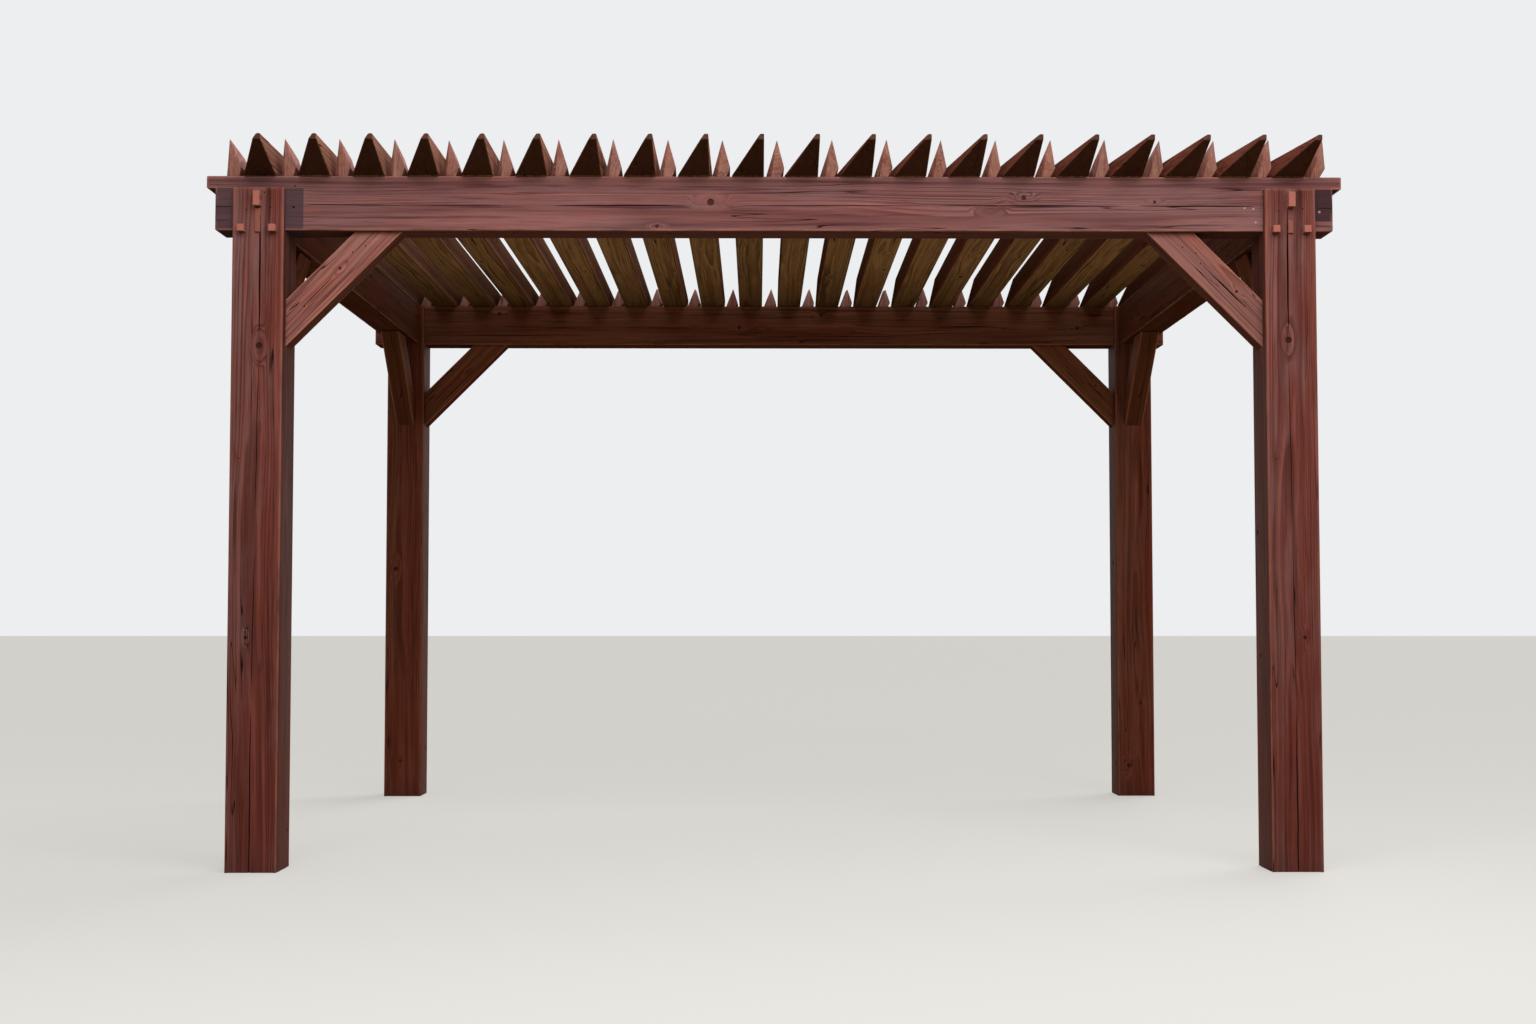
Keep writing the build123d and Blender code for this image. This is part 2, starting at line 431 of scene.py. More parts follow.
@dataclass(frozen=True)
class StainedWood:
    """Sawn softwood under a thin satin stain, through which late-wood lines, soft streaks and fibre show.

    Attributes:
        name: the wood's and the stain's common name.
        body: the stain's middle colour, as sRGB hex.
        light: streaks where the stain is thin.
        dark: late-wood lines.
        bloom_and_sheen: grey-mauve clouds, partly the grey that weather draws over the stain and partly
            painted sky sheen.
        worn: rubbed arrises.
        end: end grain.
        knot: knots and the bark round them.
        ring_mm: distance between rings, drawn about twice as wide as in the real wood so that it shows.
        fibre_mm: width of the fibre streaks, drawn coarse for the same reason.
        sway: how far the rings stray sideways along the log, in metres.
        bloom_and_sheen_share: how much of the face the weathered grey and the painted sheen take.
        ring_strength: how dark the late-wood lines are, from 0 to 1.
        roughness: of the stain film.
        gleam: how strongly the stain film mirrors, from 0 for chalky to 0.5 for varnish.
        weather: painted light and shade on its sides by the way they look, each over the ones before it.
    """

    name: str
    body: str
    light: str
    dark: str
    bloom_and_sheen: str
    worn: str
    end: str
    knot: str = "2A1512"
    ring_mm: float = 10.0
    fibre_mm: float = 4.5
    sway: float = 0.05
    bloom_and_sheen_share: float = 0.5
    ring_strength: float = 0.75
    roughness: float = 0.52
    gleam: float = 0.02
    weather: tuple[PaintedSideLight, ...] = (PAINTED_SHADE_BELOW,)

    def material(self, name: str, grain: Grain) -> bpy.types.Material:
        """Makes the wood of one timber.

        Args:
            name: the timber's name.
            grain: how the wood lies in it.

        Returns:
            The material, whose pattern is centred on the timber's own pith.
        """
        made = bpy.data.materials.new(f"{self.name}_{name}")
        made.use_nodes = True
        tree = made.node_tree
        tree.nodes.clear()
        here = add(tree, "ShaderNodeTexCoord").outputs["Object"]
        log_place = add(tree, "ShaderNodeMapping",
                        {"Location": grain.pith, "Rotation": grain.turn.to_euler()}, {"Vector": here},
                        vector_type="TEXTURE").outputs[0]
        bent, core, rim = self._knots(tree, log_place, grain)
        ring, streak, fibre, split = self._figure(tree, log_place, bent)
        colour = self._colour(tree, here, log_place, grain, (ring, streak, fibre, split, core, rim))
        self._surface(tree, colour, ring, fibre, split)
        return made

    @staticmethod
    def _looks(tree: Tree, side: Vector, least: float, share: float) -> Socket:
        """Adds what is a share on faces that look one way, and 0 on others.

        Args:
            tree: the material's nodes.
            side: the way that the faces look.
            least: how squarely they look that way.
            share: what they get.

        Returns:
            The socket that gives it.
        """
        cut = add(tree, "ShaderNodeNewGeometry").outputs["True Normal"]
        facing = add(tree, "ShaderNodeVectorMath", {1: side}, {0: cut}, operation="DOT_PRODUCT")
        return add(tree, "ShaderNodeMapRange", {"From Min": least, "From Max": least + 0.02, "To Max": share},
                   {"Value": facing.outputs["Value"]}).outputs[0]

    @staticmethod
    def _knots(tree: Tree, log_place: Socket, grain: Grain) -> tuple[Socket, Socket, Socket]:
        """Adds the knots.

        Args:
            tree: the material's nodes.
            log_place: the place in the log.
            grain: how the wood lies, with its knots.

        Returns:
            The place as the knots bend it, the knots' cores and their rims.
        """
        bent = log_place
        core = add(tree, "ShaderNodeValue").outputs[0]
        core.default_value = 0.0
        rim = core
        for knot in grain.marks.knots:
            branch = grain.turn.transposed() @ knot.branch
            shape = add(tree, "ShaderNodeGroup",
                        {"Centre": grain.local(knot.centre), "Branch": branch, "Radius": knot.radius},
                        {"Place": log_place}, node_tree=knot_group())
            bent = add(tree, "ShaderNodeVectorMath", links={0: bent, 1: shape.outputs["Bend"]},
                       operation="ADD").outputs[0]
            core = add(tree, "ShaderNodeMath", links={0: core, 1: shape.outputs["Core"]},
                       operation="MAXIMUM").outputs[0]
            rim = add(tree, "ShaderNodeMath", links={0: rim, 1: shape.outputs["Rim"]},
                      operation="MAXIMUM").outputs[0]
        return bent, core, rim

    def _figure(self, tree: Tree, log_place: Socket, bent: Socket) -> tuple[Socket, Socket, Socket, Socket]:
        """Adds the figure that the saw laid open.

        Args:
            tree: the material's nodes.
            log_place: the place in the log.
            bent: the same place, bent round the knots.

        Returns:
            The late-wood rings, the streaks, the fibres and the hairline splits.
        """
        slow = add(tree, "ShaderNodeMapping", {"Scale": per_metre(*SWAY_MM)}, {"Vector": log_place})
        sway = add(tree, "ShaderNodeTexNoise", {"Scale": 1.0, "Detail": 2.0}, {"Vector": slow})
        middle = add(tree, "ShaderNodeVectorMath", {1: (0.5, 0.5, 0.5)}, {0: sway.outputs["Color"]},
                     operation="SUBTRACT")
        far = add(tree, "ShaderNodeVectorMath", {1: (self.sway, self.sway, 0.0)}, {0: middle},
                  operation="MULTIPLY")
        swayed = add(tree, "ShaderNodeVectorMath", links={0: bent, 1: far}, operation="ADD")
        across = add(tree, "ShaderNodeVectorMath", {1: (1.0, 1.0, 0.0)}, {0: swayed},
                     operation="MULTIPLY")
        radius = add(tree, "ShaderNodeVectorMath", links={0: across}, operation="LENGTH")
        count = add(tree, "ShaderNodeMath", {1: 1 / (self.ring_mm * MM)}, {0: radius.outputs["Value"]},
                    operation="MULTIPLY")
        uneven = add(tree, "ShaderNodeTexNoise", {"Scale": 0.45, "Detail": 1.0}, {"W": count},
                     noise_dimensions="1D")
        years = add(tree, "ShaderNodeMath", {1: 3.0}, {0: uneven.outputs["Fac"], 2: count},
                    operation="MULTIPLY_ADD")
        tooth = add(tree, "ShaderNodeMath", links={0: years}, operation="FRACT")
        rise = add(tree, "ShaderNodeMapRange", {"From Min": 0.15, "From Max": 0.82}, {"Value": tooth},
                   interpolation_type="SMOOTHSTEP")
        fall = add(tree, "ShaderNodeMapRange", {"From Min": 1.0, "From Max": 0.84}, {"Value": tooth},
                   interpolation_type="SMOOTHSTEP")
        late = add(tree, "ShaderNodeMath", links={0: rise, 1: fall}, operation="MULTIPLY")
        broad_place = add(tree, "ShaderNodeMapping", {"Scale": per_metre(*BROAD_MM)}, {"Vector": swayed})
        broad = add(tree, "ShaderNodeTexNoise", {"Scale": 1.0, "Detail": 3.0, "Roughness": 0.6},
                    {"Vector": broad_place})
        firm = add(tree, "ShaderNodeMapRange", {"From Min": 0.35, "From Max": 0.62, "To Min": 0.3},
                   {"Value": broad.outputs["Fac"]})
        ring = add(tree, "ShaderNodeMath", links={0: late, 1: firm}, operation="MULTIPLY")
        streak_place = add(tree, "ShaderNodeMapping", {"Scale": per_metre(*STREAK_MM)}, {"Vector": swayed})
        streak = add(tree, "ShaderNodeTexNoise", {"Scale": 1.0, "Detail": 3.0, "Roughness": 0.65},
                     {"Vector": streak_place})
        fibre_place = add(tree, "ShaderNodeMapping", {"Scale": per_metre(self.fibre_mm, FIBRE_LONG_MM)},
                          {"Vector": swayed})
        fibre = add(tree, "ShaderNodeTexNoise", {"Scale": 1.0, "Detail": 3.0, "Roughness": 0.7},
                    {"Vector": fibre_place})
        split_place = add(tree, "ShaderNodeMapping", {"Scale": per_metre(*SPLIT_MM)}, {"Vector": swayed})
        vein = add(tree, "ShaderNodeTexNoise", {"Scale": 1.0, "Detail": 1.0}, {"Vector": split_place})
        level = add(tree, "ShaderNodeMath", {1: 0.56}, {0: vein.outputs["Fac"]}, operation="SUBTRACT")
        off = add(tree, "ShaderNodeMath", links={0: level}, operation="ABSOLUTE")
        line = add(tree, "ShaderNodeMapRange", {"From Min": 0.011, "From Max": 0.003}, {"Value": off},
                   interpolation_type="SMOOTHSTEP")
        some_place = add(tree, "ShaderNodeMapping",
                         {"Scale": per_metre(*SPLIT_AREA_MM), "Location": (3.0, 7.0, 1.0)},
                         {"Vector": log_place})
        some = add(tree, "ShaderNodeTexNoise", {"Scale": 1.0, "Detail": 1.0}, {"Vector": some_place})
        chosen = add(tree, "ShaderNodeMapRange", {"From Min": 0.5, "From Max": 0.62},
                     {"Value": some.outputs["Fac"]}, interpolation_type="SMOOTHSTEP")
        split = add(tree, "ShaderNodeMath", links={0: line, 1: chosen}, operation="MULTIPLY")
        return ring.outputs[0], streak.outputs["Fac"], fibre.outputs["Fac"], split.outputs[0]

    def _colour(self, tree: Tree, here: Socket, log_place: Socket, grain: Grain,
                figure: tuple[Socket, ...]) -> Socket:
        """Lays the colours over each other, from the stain's body to the rubbed arrises.

        Args:
            tree: the material's nodes.
            here: the place in the frame.
            log_place: the place in the log.
            grain: how the wood lies, with its patches.
            figure: the rings, streaks, fibres and splits, and the knots' cores and rims.

        Returns:
            The colour.
        """
        ring, streak, fibre, split, core, rim = figure
        # Grey-mauve clouds: partly the grey of weathering, partly painted sky sheen.
        bloom_and_sheen_place = add(tree, "ShaderNodeMapping",
                          {"Scale": per_metre(*BLOOM_AND_SHEEN_MM), "Location": (5.0, 1.0, 2.0)}, {"Vector": log_place})
        bloom_and_sheen = add(tree, "ShaderNodeTexNoise", {"Scale": 1.0, "Detail": 4.0, "Roughness": 0.6},
                    {"Vector": bloom_and_sheen_place})
        edge = 0.5 + 0.25 * (0.5 - self.bloom_and_sheen_share)
        bloom_and_sheen_most = min(1.0, self.bloom_and_sheen_share + 0.3)
        bloom_and_sheen_mask = add(tree, "ShaderNodeMapRange",
                      {"From Min": edge - 0.14, "From Max": edge + 0.14, "To Max": bloom_and_sheen_most},
                      {"Value": bloom_and_sheen.outputs["Fac"]}, interpolation_type="SMOOTHSTEP")
        thin = add(tree, "ShaderNodeMapRange", {"From Min": 0.48, "From Max": 0.72, "To Max": 0.85},
                   {"Value": streak}, interpolation_type="SMOOTHSTEP")
        thick = add(tree, "ShaderNodeMapRange", {"From Min": 0.47, "From Max": 0.28, "To Max": 0.8},
                    {"Value": streak}, interpolation_type="SMOOTHSTEP")
        lines = add(tree, "ShaderNodeMath", {1: self.ring_strength}, {0: ring}, operation="MULTIPLY")
        hair = add(tree, "ShaderNodeMapRange", {"From Min": 0.5, "From Max": 0.24, "To Max": 0.6},
                   {"Value": fibre}, interpolation_type="SMOOTHSTEP")
        pale_hair = add(tree, "ShaderNodeMapRange", {"From Min": 0.56, "From Max": 0.8, "To Max": 0.5},
                        {"Value": fibre}, interpolation_type="SMOOTHSTEP")
        cut = add(tree, "ShaderNodeNewGeometry").outputs["True Normal"]
        facing = add(tree, "ShaderNodeVectorMath", {1: grain.along}, {0: cut}, operation="DOT_PRODUCT")
        either = add(tree, "ShaderNodeMath", links={0: facing.outputs["Value"]}, operation="ABSOLUTE")
        ends = add(tree, "ShaderNodeMapRange", {"From Min": 0.75, "From Max": 0.9, "To Max": 0.85},
                   {"Value": either})
        arris = add(tree, "ShaderNodeAttribute", attribute_name="wear", attribute_type="GEOMETRY")
        rub_place = add(tree, "ShaderNodeMapping", {"Scale": per_metre(*RUB_MM)}, {"Vector": log_place})
        rub = add(tree, "ShaderNodeTexNoise", {"Scale": 1.0, "Detail": 3.0}, {"Vector": rub_place})
        rubbed = add(tree, "ShaderNodeMapRange", {"From Min": 0.3, "From Max": 0.65, "To Min": 0.25},
                     {"Value": rub.outputs["Fac"]})
        worn = add(tree, "ShaderNodeMath", links={0: arris.outputs["Fac"], 1: rubbed},
                   operation="MULTIPLY")
        layers = [
            (bloom_and_sheen_mask, self.bloom_and_sheen),
            (thin, self.light),
            (pale_hair, self.light),
            # painted light and shade by the way each face looks
            *((self._looks(tree, w.side, w.least, w.share), w.colour) for w in self.weather),
            (thick, self.dark),
            (lines, self.dark),
            (hair, self.dark),
            (ends, self.end),
        ]
        for patch in grain.marks.patches:
            box = add(tree, "ShaderNodeGroup",
                      {"Low": patch.low, "High": patch.high, "Sharpness": 1 / patch.blur}, {"Place": here},
                      node_tree=patch_group())
            part = add(tree, "ShaderNodeMath", {1: patch.strength}, {0: box}, operation="MULTIPLY")
            layers.append((part, patch.colour))
        layers += [(worn, self.worn), (core, self.dark), (rim, self.knot), (split, self.knot)]
        colour = add(tree, "ShaderNodeRGB").outputs[0]
        colour.default_value = tuple(c * grain.tone for c in linear(self.body)[:3]) + (1.0,)
        for mask, code in layers:
            shade = tuple(c * grain.tone for c in linear(code)[:3]) + (1.0,)
            mixed = add(tree, "ShaderNodeMix", {MIX_SECOND: shade}, {MIX_FACTOR: mask, MIX_FIRST: colour},
                        data_type="RGBA")
            colour = mixed.outputs[MIX_RESULT]
        return colour

    def _surface(self, tree: Tree, colour: Socket, ring: Socket, fibre: Socket, split: Socket) -> None:
        """Adds the shader, matt on undersides, with raised late wood, fibre furrows and sunk splits.

        Args:
            tree: the material's nodes.
            colour: what the layers of stain give.
            ring: the late-wood rings.
            fibre: the fibres.
            split: the hairline splits.
        """
        ridge = add(tree, "ShaderNodeMath", {1: 0.35}, {0: ring}, operation="MULTIPLY")
        furrow = add(tree, "ShaderNodeMath", {1: 0.5}, {0: fibre, 2: ridge}, operation="MULTIPLY_ADD")
        sunk = add(tree, "ShaderNodeMath", {1: -2.5}, {0: split, 2: furrow}, operation="MULTIPLY_ADD")
        relief = add(tree, "ShaderNodeBump", {"Strength": 0.8, "Distance": 0.6 * MM}, {"Height": sunk})
        smoothest, roughest = self.roughness - 0.07, self.roughness + 0.1
        rough = add(tree, "ShaderNodeMapRange",
                    {"From Min": 0.3, "From Max": 0.7, "To Min": smoothest, "To Max": roughest},
                    {"Value": fibre})
        gleam = add(tree, "ShaderNodeMapRange", {"To Min": self.gleam, "To Max": 0.0},
                    {"Value": self._looks(tree, DOWN, 0.6, 1.0)})
        shader = add(tree, "ShaderNodeBsdfPrincipled", None,
                     {"Base Color": colour, "Roughness": rough, "Normal": relief,
                      "Specular IOR Level": gleam})
        add(tree, "ShaderNodeOutputMaterial", links={"Surface": shader})


@dataclass(frozen=True)
class PlainFinish:
    """A surface with one colour that a slow noise breaks up, for steel heads and the walls of splits.

    Attributes:
        name: the real material's name.
        colour: sRGB hex value.
        speck: the colour that breaks it up.
        roughness: of the surface.
        metallic: share of it that mirrors as bare metal, from 0 to 1.
        grain_mm: size of the specks.
    """

    name: str
    colour: str
    speck: str
    roughness: float = 0.85
    metallic: float = 0.0
    grain_mm: float = 3.0

    def material(self) -> bpy.types.Material:
        """Makes the material once.

        Returns:
            The material, new or as it was made before.
        """
        found = bpy.data.materials.get(self.name)
        if found:
            return found
        made = bpy.data.materials.new(self.name)
        made.use_nodes = True
        tree = made.node_tree
        tree.nodes.clear()
        here = add(tree, "ShaderNodeTexCoord").outputs["Object"]
        noise = add(tree, "ShaderNodeTexNoise", {"Scale": 1 / (self.grain_mm * MM), "Detail": 3.0},
                    {"Vector": here})
        mixed = add(tree, "ShaderNodeMix", {MIX_FIRST: linear(self.colour), MIX_SECOND: linear(self.speck)},
                    {MIX_FACTOR: noise.outputs["Fac"]}, data_type="RGBA")
        shader = add(tree, "ShaderNodeBsdfPrincipled",
                     {"Roughness": self.roughness, "Metallic": self.metallic},
                     {"Base Color": mixed.outputs[MIX_RESULT]})
        add(tree, "ShaderNodeOutputMaterial", links={"Surface": shader})
        return made


# Front posts: the stain is red-brown, with grey-mauve clouds, partly weathered grey and partly painted sky
# sheen.
POST_WOOD = StainedWood(
    "stained_softwood_post", body="6E3A32", light="8A4E46", dark="3D1D1A", bloom_and_sheen="7A5856", worn="8E5A4E",
    end="4A2622", ring_mm=8.0, bloom_and_sheen_share=0.6,
)
# Front beam: close rings and long streaks, for a timber sawn far from the pith.
BEAM_WOOD = StainedWood(
    "stained_softwood_beam", body="84524F", light="9A625C", dark="4A2A2A", bloom_and_sheen="825E5E", worn="A87468",
    end="4A2826", ring_mm=7.0, fibre_mm=3.5, sway=0.03, bloom_and_sheen_share=0.6,
)
# Front braces: a little paler and redder, where the stain wore thin.
BRACE_WOOD = StainedWood(
    "stained_softwood_brace", body="8E5248", light="A86C60", dark="502A24", bloom_and_sheen="8A645E", worn="B0786A",
    end="5A342C", ring_mm=8.0,
)
# Timbers under the roof: darker, warmer copies of the front woods with less grey, as painted shade of the
# roof.
SHADED_POST_WOOD = replace(
    POST_WOOD, name="sheltered_softwood_post", body="70382A", light="8A4E3E", dark="3D1D14", bloom_and_sheen="70483A",
    worn="8A5644",
)
SHADED_BEAM_WOOD = replace(
    BEAM_WOOD, name="shaded_softwood_beam", body="784032", light="905848", dark="482418", bloom_and_sheen="744E3E",
    worn="94604E",
)
SHADED_BRACE_WOOD = replace(
    BRACE_WOOD, name="shaded_softwood_brace", body="7C4230", light="945A46", dark="4A2618", bloom_and_sheen="785038",
    worn="96624C",
)
# Rafters: chalky stain with no gleam, painted shade under the tapered tails, painted bounce light on flat
# undersides.
RAFTER_WOOD = StainedWood(
    "stained_softwood_rafter", body="704434", light="94644C", dark="3E241C", bloom_and_sheen="78523E", worn="5E4034",
    end="32201A", roughness=0.62, gleam=0.0,
    weather=(
        PaintedSideLight(DOWN, 0.6, "32201A", 0.85),
        PaintedSideLight(DOWN, 0.97, "9A7A56", 0.85),
        # painted highlight on the right sides
        PaintedSideLight(RIGHT, 0.9, "B88472", 0.75),
        # painted shade, redder, on the left sides
        PaintedSideLight(LEFT, 0.6, "763A32", 0.65),
    ),
)
# Pegs and keys: bare reddish hardwood with fine fibres, the brightest pieces.
PEG_WOOD = StainedWood(
    "bare_hardwood_peg", body="A66C60", light="BC8478", dark="6E443C", bloom_and_sheen="A87A70", worn="C89484",
    end="A66456", ring_mm=5.0, fibre_mm=2.5, roughness=0.6,
)
# Spacer blocks: the stain weathered off, so they are pale with lighter arrises.
SPACER_WOOD = StainedWood(
    "worn_softwood_spacer", body="B47C70", light="CC988A", dark="86564E", bloom_and_sheen="B08880", worn="E0B4A4",
    end="8A5A50", ring_mm=8.0, roughness=0.66,
)
# The walls of splits and holes are bare wood, nearly black as painted shade deep in the narrow cuts.
OPENED_WOOD = PlainFinish("walls_of_an_open_split", colour="1E0F0C", speck="2E1813", roughness=0.95)
# Nail heads lost their shine long ago.
NAIL_STEEL = PlainFinish(
    "weathered_nail_steel", colour="8A7468", speck="B49C8E", roughness=0.6, metallic=0.2, grain_mm=2.0,
)


def cloud(name: str, size: float, contrast: float = 1.0) -> bpy.types.Texture:
    """Makes, once, a cloud pattern by which cuts stray and arrises are worn unevenly.

    Args:
        name: the pattern's name.
        size: of its clouds, in metres.
        contrast: how hard their edges are.

    Returns:
        The pattern.
    """
    found = bpy.data.textures.get(name)
    if found is None:
        found = bpy.data.textures.new(name, type="CLOUDS")
        found.noise_scale = size
        found.noise_depth = 2
        found.contrast = contrast
    return found


def nodes_of(kind: str) -> list[str]:
    """Returns the names of the solids of one kind, in order."""
    return sorted(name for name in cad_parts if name.startswith(kind))


def take_alone(piece: Piece) -> None:
    """Selects one piece alone, as the active one.

    Args:
        piece: the piece to work on.
    """
    bpy.ops.object.select_all(action="DESELECT")
    piece.select_set(True)
    bpy.context.view_layer.objects.active = piece


def settle_in_frame(piece: Piece) -> None:
    """Moves a piece's place, turn and size into its mesh."""
    take_alone(piece)
    bpy.ops.object.transform_apply(location=True, rotation=True, scale=True)


def apply_modifier(piece: Piece, kind: str, **settings: object) -> None:
    """Adds one modifier to a piece and applies it.

    Args:
        piece: the piece that it shapes.
        kind: Blender's name of the modifier's type.
        settings: the modifier's own properties.
    """
    take_alone(piece)
    bpy.ops.object.modifier_add(type=kind)
    modifier = piece.modifiers[-1]
    for name, value in settings.items():
        setattr(modifier, name, value)
    bpy.ops.object.modifier_apply(modifier=modifier.name)


def round_cutter(centre: Vector, axis: Vector, size: Vector, segments: int, rings: int) -> Piece:
    """Adds a rounded cutter with its long way along an axis.

    Args:
        centre: its middle.
        axis: its own Z in the frame.
        size: its half sizes.
        segments: faces round it.
        rings: faces from pole to pole.

    Returns:
        The cutter, with its place in its mesh.
    """
    bpy.ops.object.select_all(action="DESELECT")
    bpy.ops.mesh.primitive_uv_sphere_add(
        segments=segments, ring_count=rings, radius=1.0, location=centre,
        rotation=axis.to_track_quat("Z", "Y").to_euler(), scale=size,
    )
    made = bpy.context.object
    bpy.ops.object.transform_apply(location=True, rotation=True, scale=True)
    return made


class Bench:
    """One mesh held in edit mode, and the hand steps that shape it."""

    def __init__(self, piece: Piece) -> None:
        """Takes the piece to the bench."""
        self.piece = piece

    def __enter__(self) -> "Bench":
        """Enters edit mode with the piece alone.

        Returns:
            The bench.
        """
        take_alone(self.piece)
        bpy.ops.object.mode_set(mode="EDIT")
        return self

    def __exit__(self, *reason: object) -> None:
        """Leaves edit mode."""
        bpy.ops.object.mode_set(mode="OBJECT")

    @property
    def mesh(self) -> bmesh.types.BMesh:
        """The mesh as it stands in edit mode."""
        return bmesh.from_edit_mesh(self.piece.data)

    def pick_faces(self, test: Callable[[bmesh.types.BMFace], bool]) -> int:
        """Selects the faces that pass a test, alone.

        Args:
            test: says which faces are meant.

        Returns:
            How many there are.
        """
        bpy.ops.mesh.select_mode(type="FACE")
        bpy.ops.mesh.select_all(action="DESELECT")
        found = [face for face in self.mesh.faces if test(face)]
        for face in found:
            face.select_set(True)
        bmesh.update_edit_mesh(self.piece.data)
        return len(found)

    def pick_edges(self, test: Callable[[bmesh.types.BMEdge], bool]) -> int:
        """Selects the edges that pass a test, alone.

        Args:
            test: says which edges are meant.

        Returns:
            How many there are.
        """
        bpy.ops.mesh.select_mode(type="EDGE")
        bpy.ops.mesh.select_all(action="DESELECT")
        found = [edge for edge in self.mesh.edges if test(edge)]
        for edge in found:
            edge.select_set(True)
        bmesh.update_edit_mesh(self.piece.data)
        return len(found)

    def score(self, point: Vector, normal: Vector) -> None:
        """Cuts a line round the whole piece where a plane meets it."""
        bpy.ops.mesh.select_all(action="SELECT")
        bpy.ops.mesh.bisect(plane_co=point, plane_no=normal)

    def saw(self, point: Vector, normal: Vector) -> None:
        """Saws off what lies past a plane, on the side its normal points to, and closes the cut."""
        bpy.ops.mesh.select_all(action="SELECT")
        bpy.ops.mesh.bisect(plane_co=point, plane_no=normal, use_fill=True, clear_outer=True)

    def extrude(self, by: Vector) -> None:
        """Extrudes the picked faces by a vector."""
        bpy.ops.mesh.extrude_region_move(TRANSFORM_OT_translate={"value": by})

    def round_arrises(self, width: float, spare: Callable[[Vector], bool] = lambda middle: False) -> None:
        """Rounds every outer arris.

        Args:
            width: how far the rounding reaches on each side, in metres.
            spare: says, by an edge's middle, which arrises stay sharp.
        """
        def outer(edge: bmesh.types.BMEdge) -> bool:
            """Returns whether an edge is an outer arris that gets rounded."""
            return edge.is_manifold and edge.calc_face_angle_signed() > SHARP and not spare(middle_of(edge))

        self.pick_edges(outer)
        bpy.ops.mesh.bevel(offset=width, segments=3, profile=0.5, affect="EDGES", clamp_overlap=True,
                           material=ARRIS_SLOT)

    def border(self, width: float) -> None:
        """Insets every roomy flat by a narrow border, so that wear and shading fade close to its arrises.

        Args:
            width: of the border, in metres.
        """
        room = 1.2 * width
        self.pick_faces(lambda face: face.material_index != ARRIS_SLOT
                        and face.calc_area() / face.calc_perimeter() > room)
        bpy.ops.mesh.inset(thickness=width, depth=0.0, use_boundary=True, use_even_offset=True)

    def shave(self, inside: Vector, first: Vector, second: Vector, third: Vector) -> None:
        """Saws off what lies past the plane through three points, on the side away from a point inside."""
        normal = (second - first).cross(third - first).normalized()
        self.saw(first, -normal if normal.dot(inside - first) > 0 else normal)

    def slice(self, along: Vector, low: float, high: float, cuts: int) -> None:
        """Cuts evenly spaced lines round the piece, across an axis of the frame.

        Args:
            along: the axis.
            low: where the piece starts on it, in metres.
            high: where it ends.
            cuts: how many lines it gets.
        """
        for index in range(1, cuts + 1):
            self.score(along * (low + (high - low) * index / (cuts + 1)), along)


def middle_of(edge: bmesh.types.BMEdge) -> Vector:
    """Returns the middle of an edge."""
    return (edge.verts[0].co + edge.verts[1].co) / 2


def block(name: str, low: Sequence[float], high: Sequence[float]) -> Piece:
    """Adds a squared block that fills a box.

    Args:
        name: the piece's name.
        low: the box's lowest corner, in metres.
        high: its highest corner.

    Returns:
        The block, with its place in its mesh and two empty finishes, the flats' and the arrises'.
    """
    low, high = Vector(low), Vector(high)
    bpy.ops.object.select_all(action="DESELECT")
    bpy.ops.mesh.primitive_cube_add(size=1.0, location=(low + high) / 2, scale=high - low)
    bpy.ops.object.transform_apply(location=True, rotation=True, scale=True)
    made = bpy.context.object
    made.name = name
    made.data.name = name
    made.data.materials.append(None)
    made.data.materials.append(None)
    return made


def own_copy(piece: Piece, name: str) -> Piece:
    """Copies a piece.

    Args:
        piece: the pattern.
        name: the copy's name.

    Returns:
        The copy, with its own mesh.
    """
    made = piece.copy()
    made.data = piece.data.copy()
    made.name = name
    made.data.name = name
    bpy.context.scene.collection.objects.link(made)
    return made


def joined(pieces: Sequence[Piece], name: str) -> Piece:
    """Joins pieces into the first of them.

    Args:
        pieces: at least one piece.
        name: what the joined piece is called.

    Returns:
        The joined piece.
    """
    bpy.ops.object.select_all(action="DESELECT")
    for piece in pieces:
        piece.select_set(True)
    bpy.context.view_layer.objects.active = pieces[0]
    if len(pieces) > 1:
        bpy.ops.object.join()
    pieces[0].name = name
    pieces[0].data.name = name
    return pieces[0]


def rub_down(piece: Piece, play: float) -> None:
    """Stores where the arrises are worn, and lets them wander inwards as hands and weather left them.

    Args:
        piece: a piece whose arris faces have the arrises' finish.
        play: how far an arris is worn back at the most, in metres.
    """
    mesh = piece.data
    touched: dict[int, list[bool]] = {}
    for face in mesh.polygons:
        for corner in face.vertices:
            touched.setdefault(corner, []).append(face.material_index == ARRIS_SLOT)
    shares = [sum(touched[i]) / len(touched[i]) if i in touched else 0.0 for i in range(len(mesh.vertices))]
    wear = mesh.attributes.new("wear", "FLOAT", "POINT")
    wear.data.foreach_set("value", shares)
    group = piece.vertex_groups.new(name="arrises")
    group.add([i for i, share in enumerate(shares) if share > 0.9], 1.0, "REPLACE")
    for face in mesh.polygons:
        face.material_index = 0
    apply_modifier(piece, "DISPLACE", texture=cloud("hand_wear", 45 * MM, 1.6), texture_coords="LOCAL",
                   vertex_group=group.name, strength=play, mid_level=1.0)


def place_key(point: Vector) -> tuple[int, ...]:
    """Returns a point as whole hundredths of a millimetre, to find it again."""
    return tuple(round(c * 1e5) for c in point)


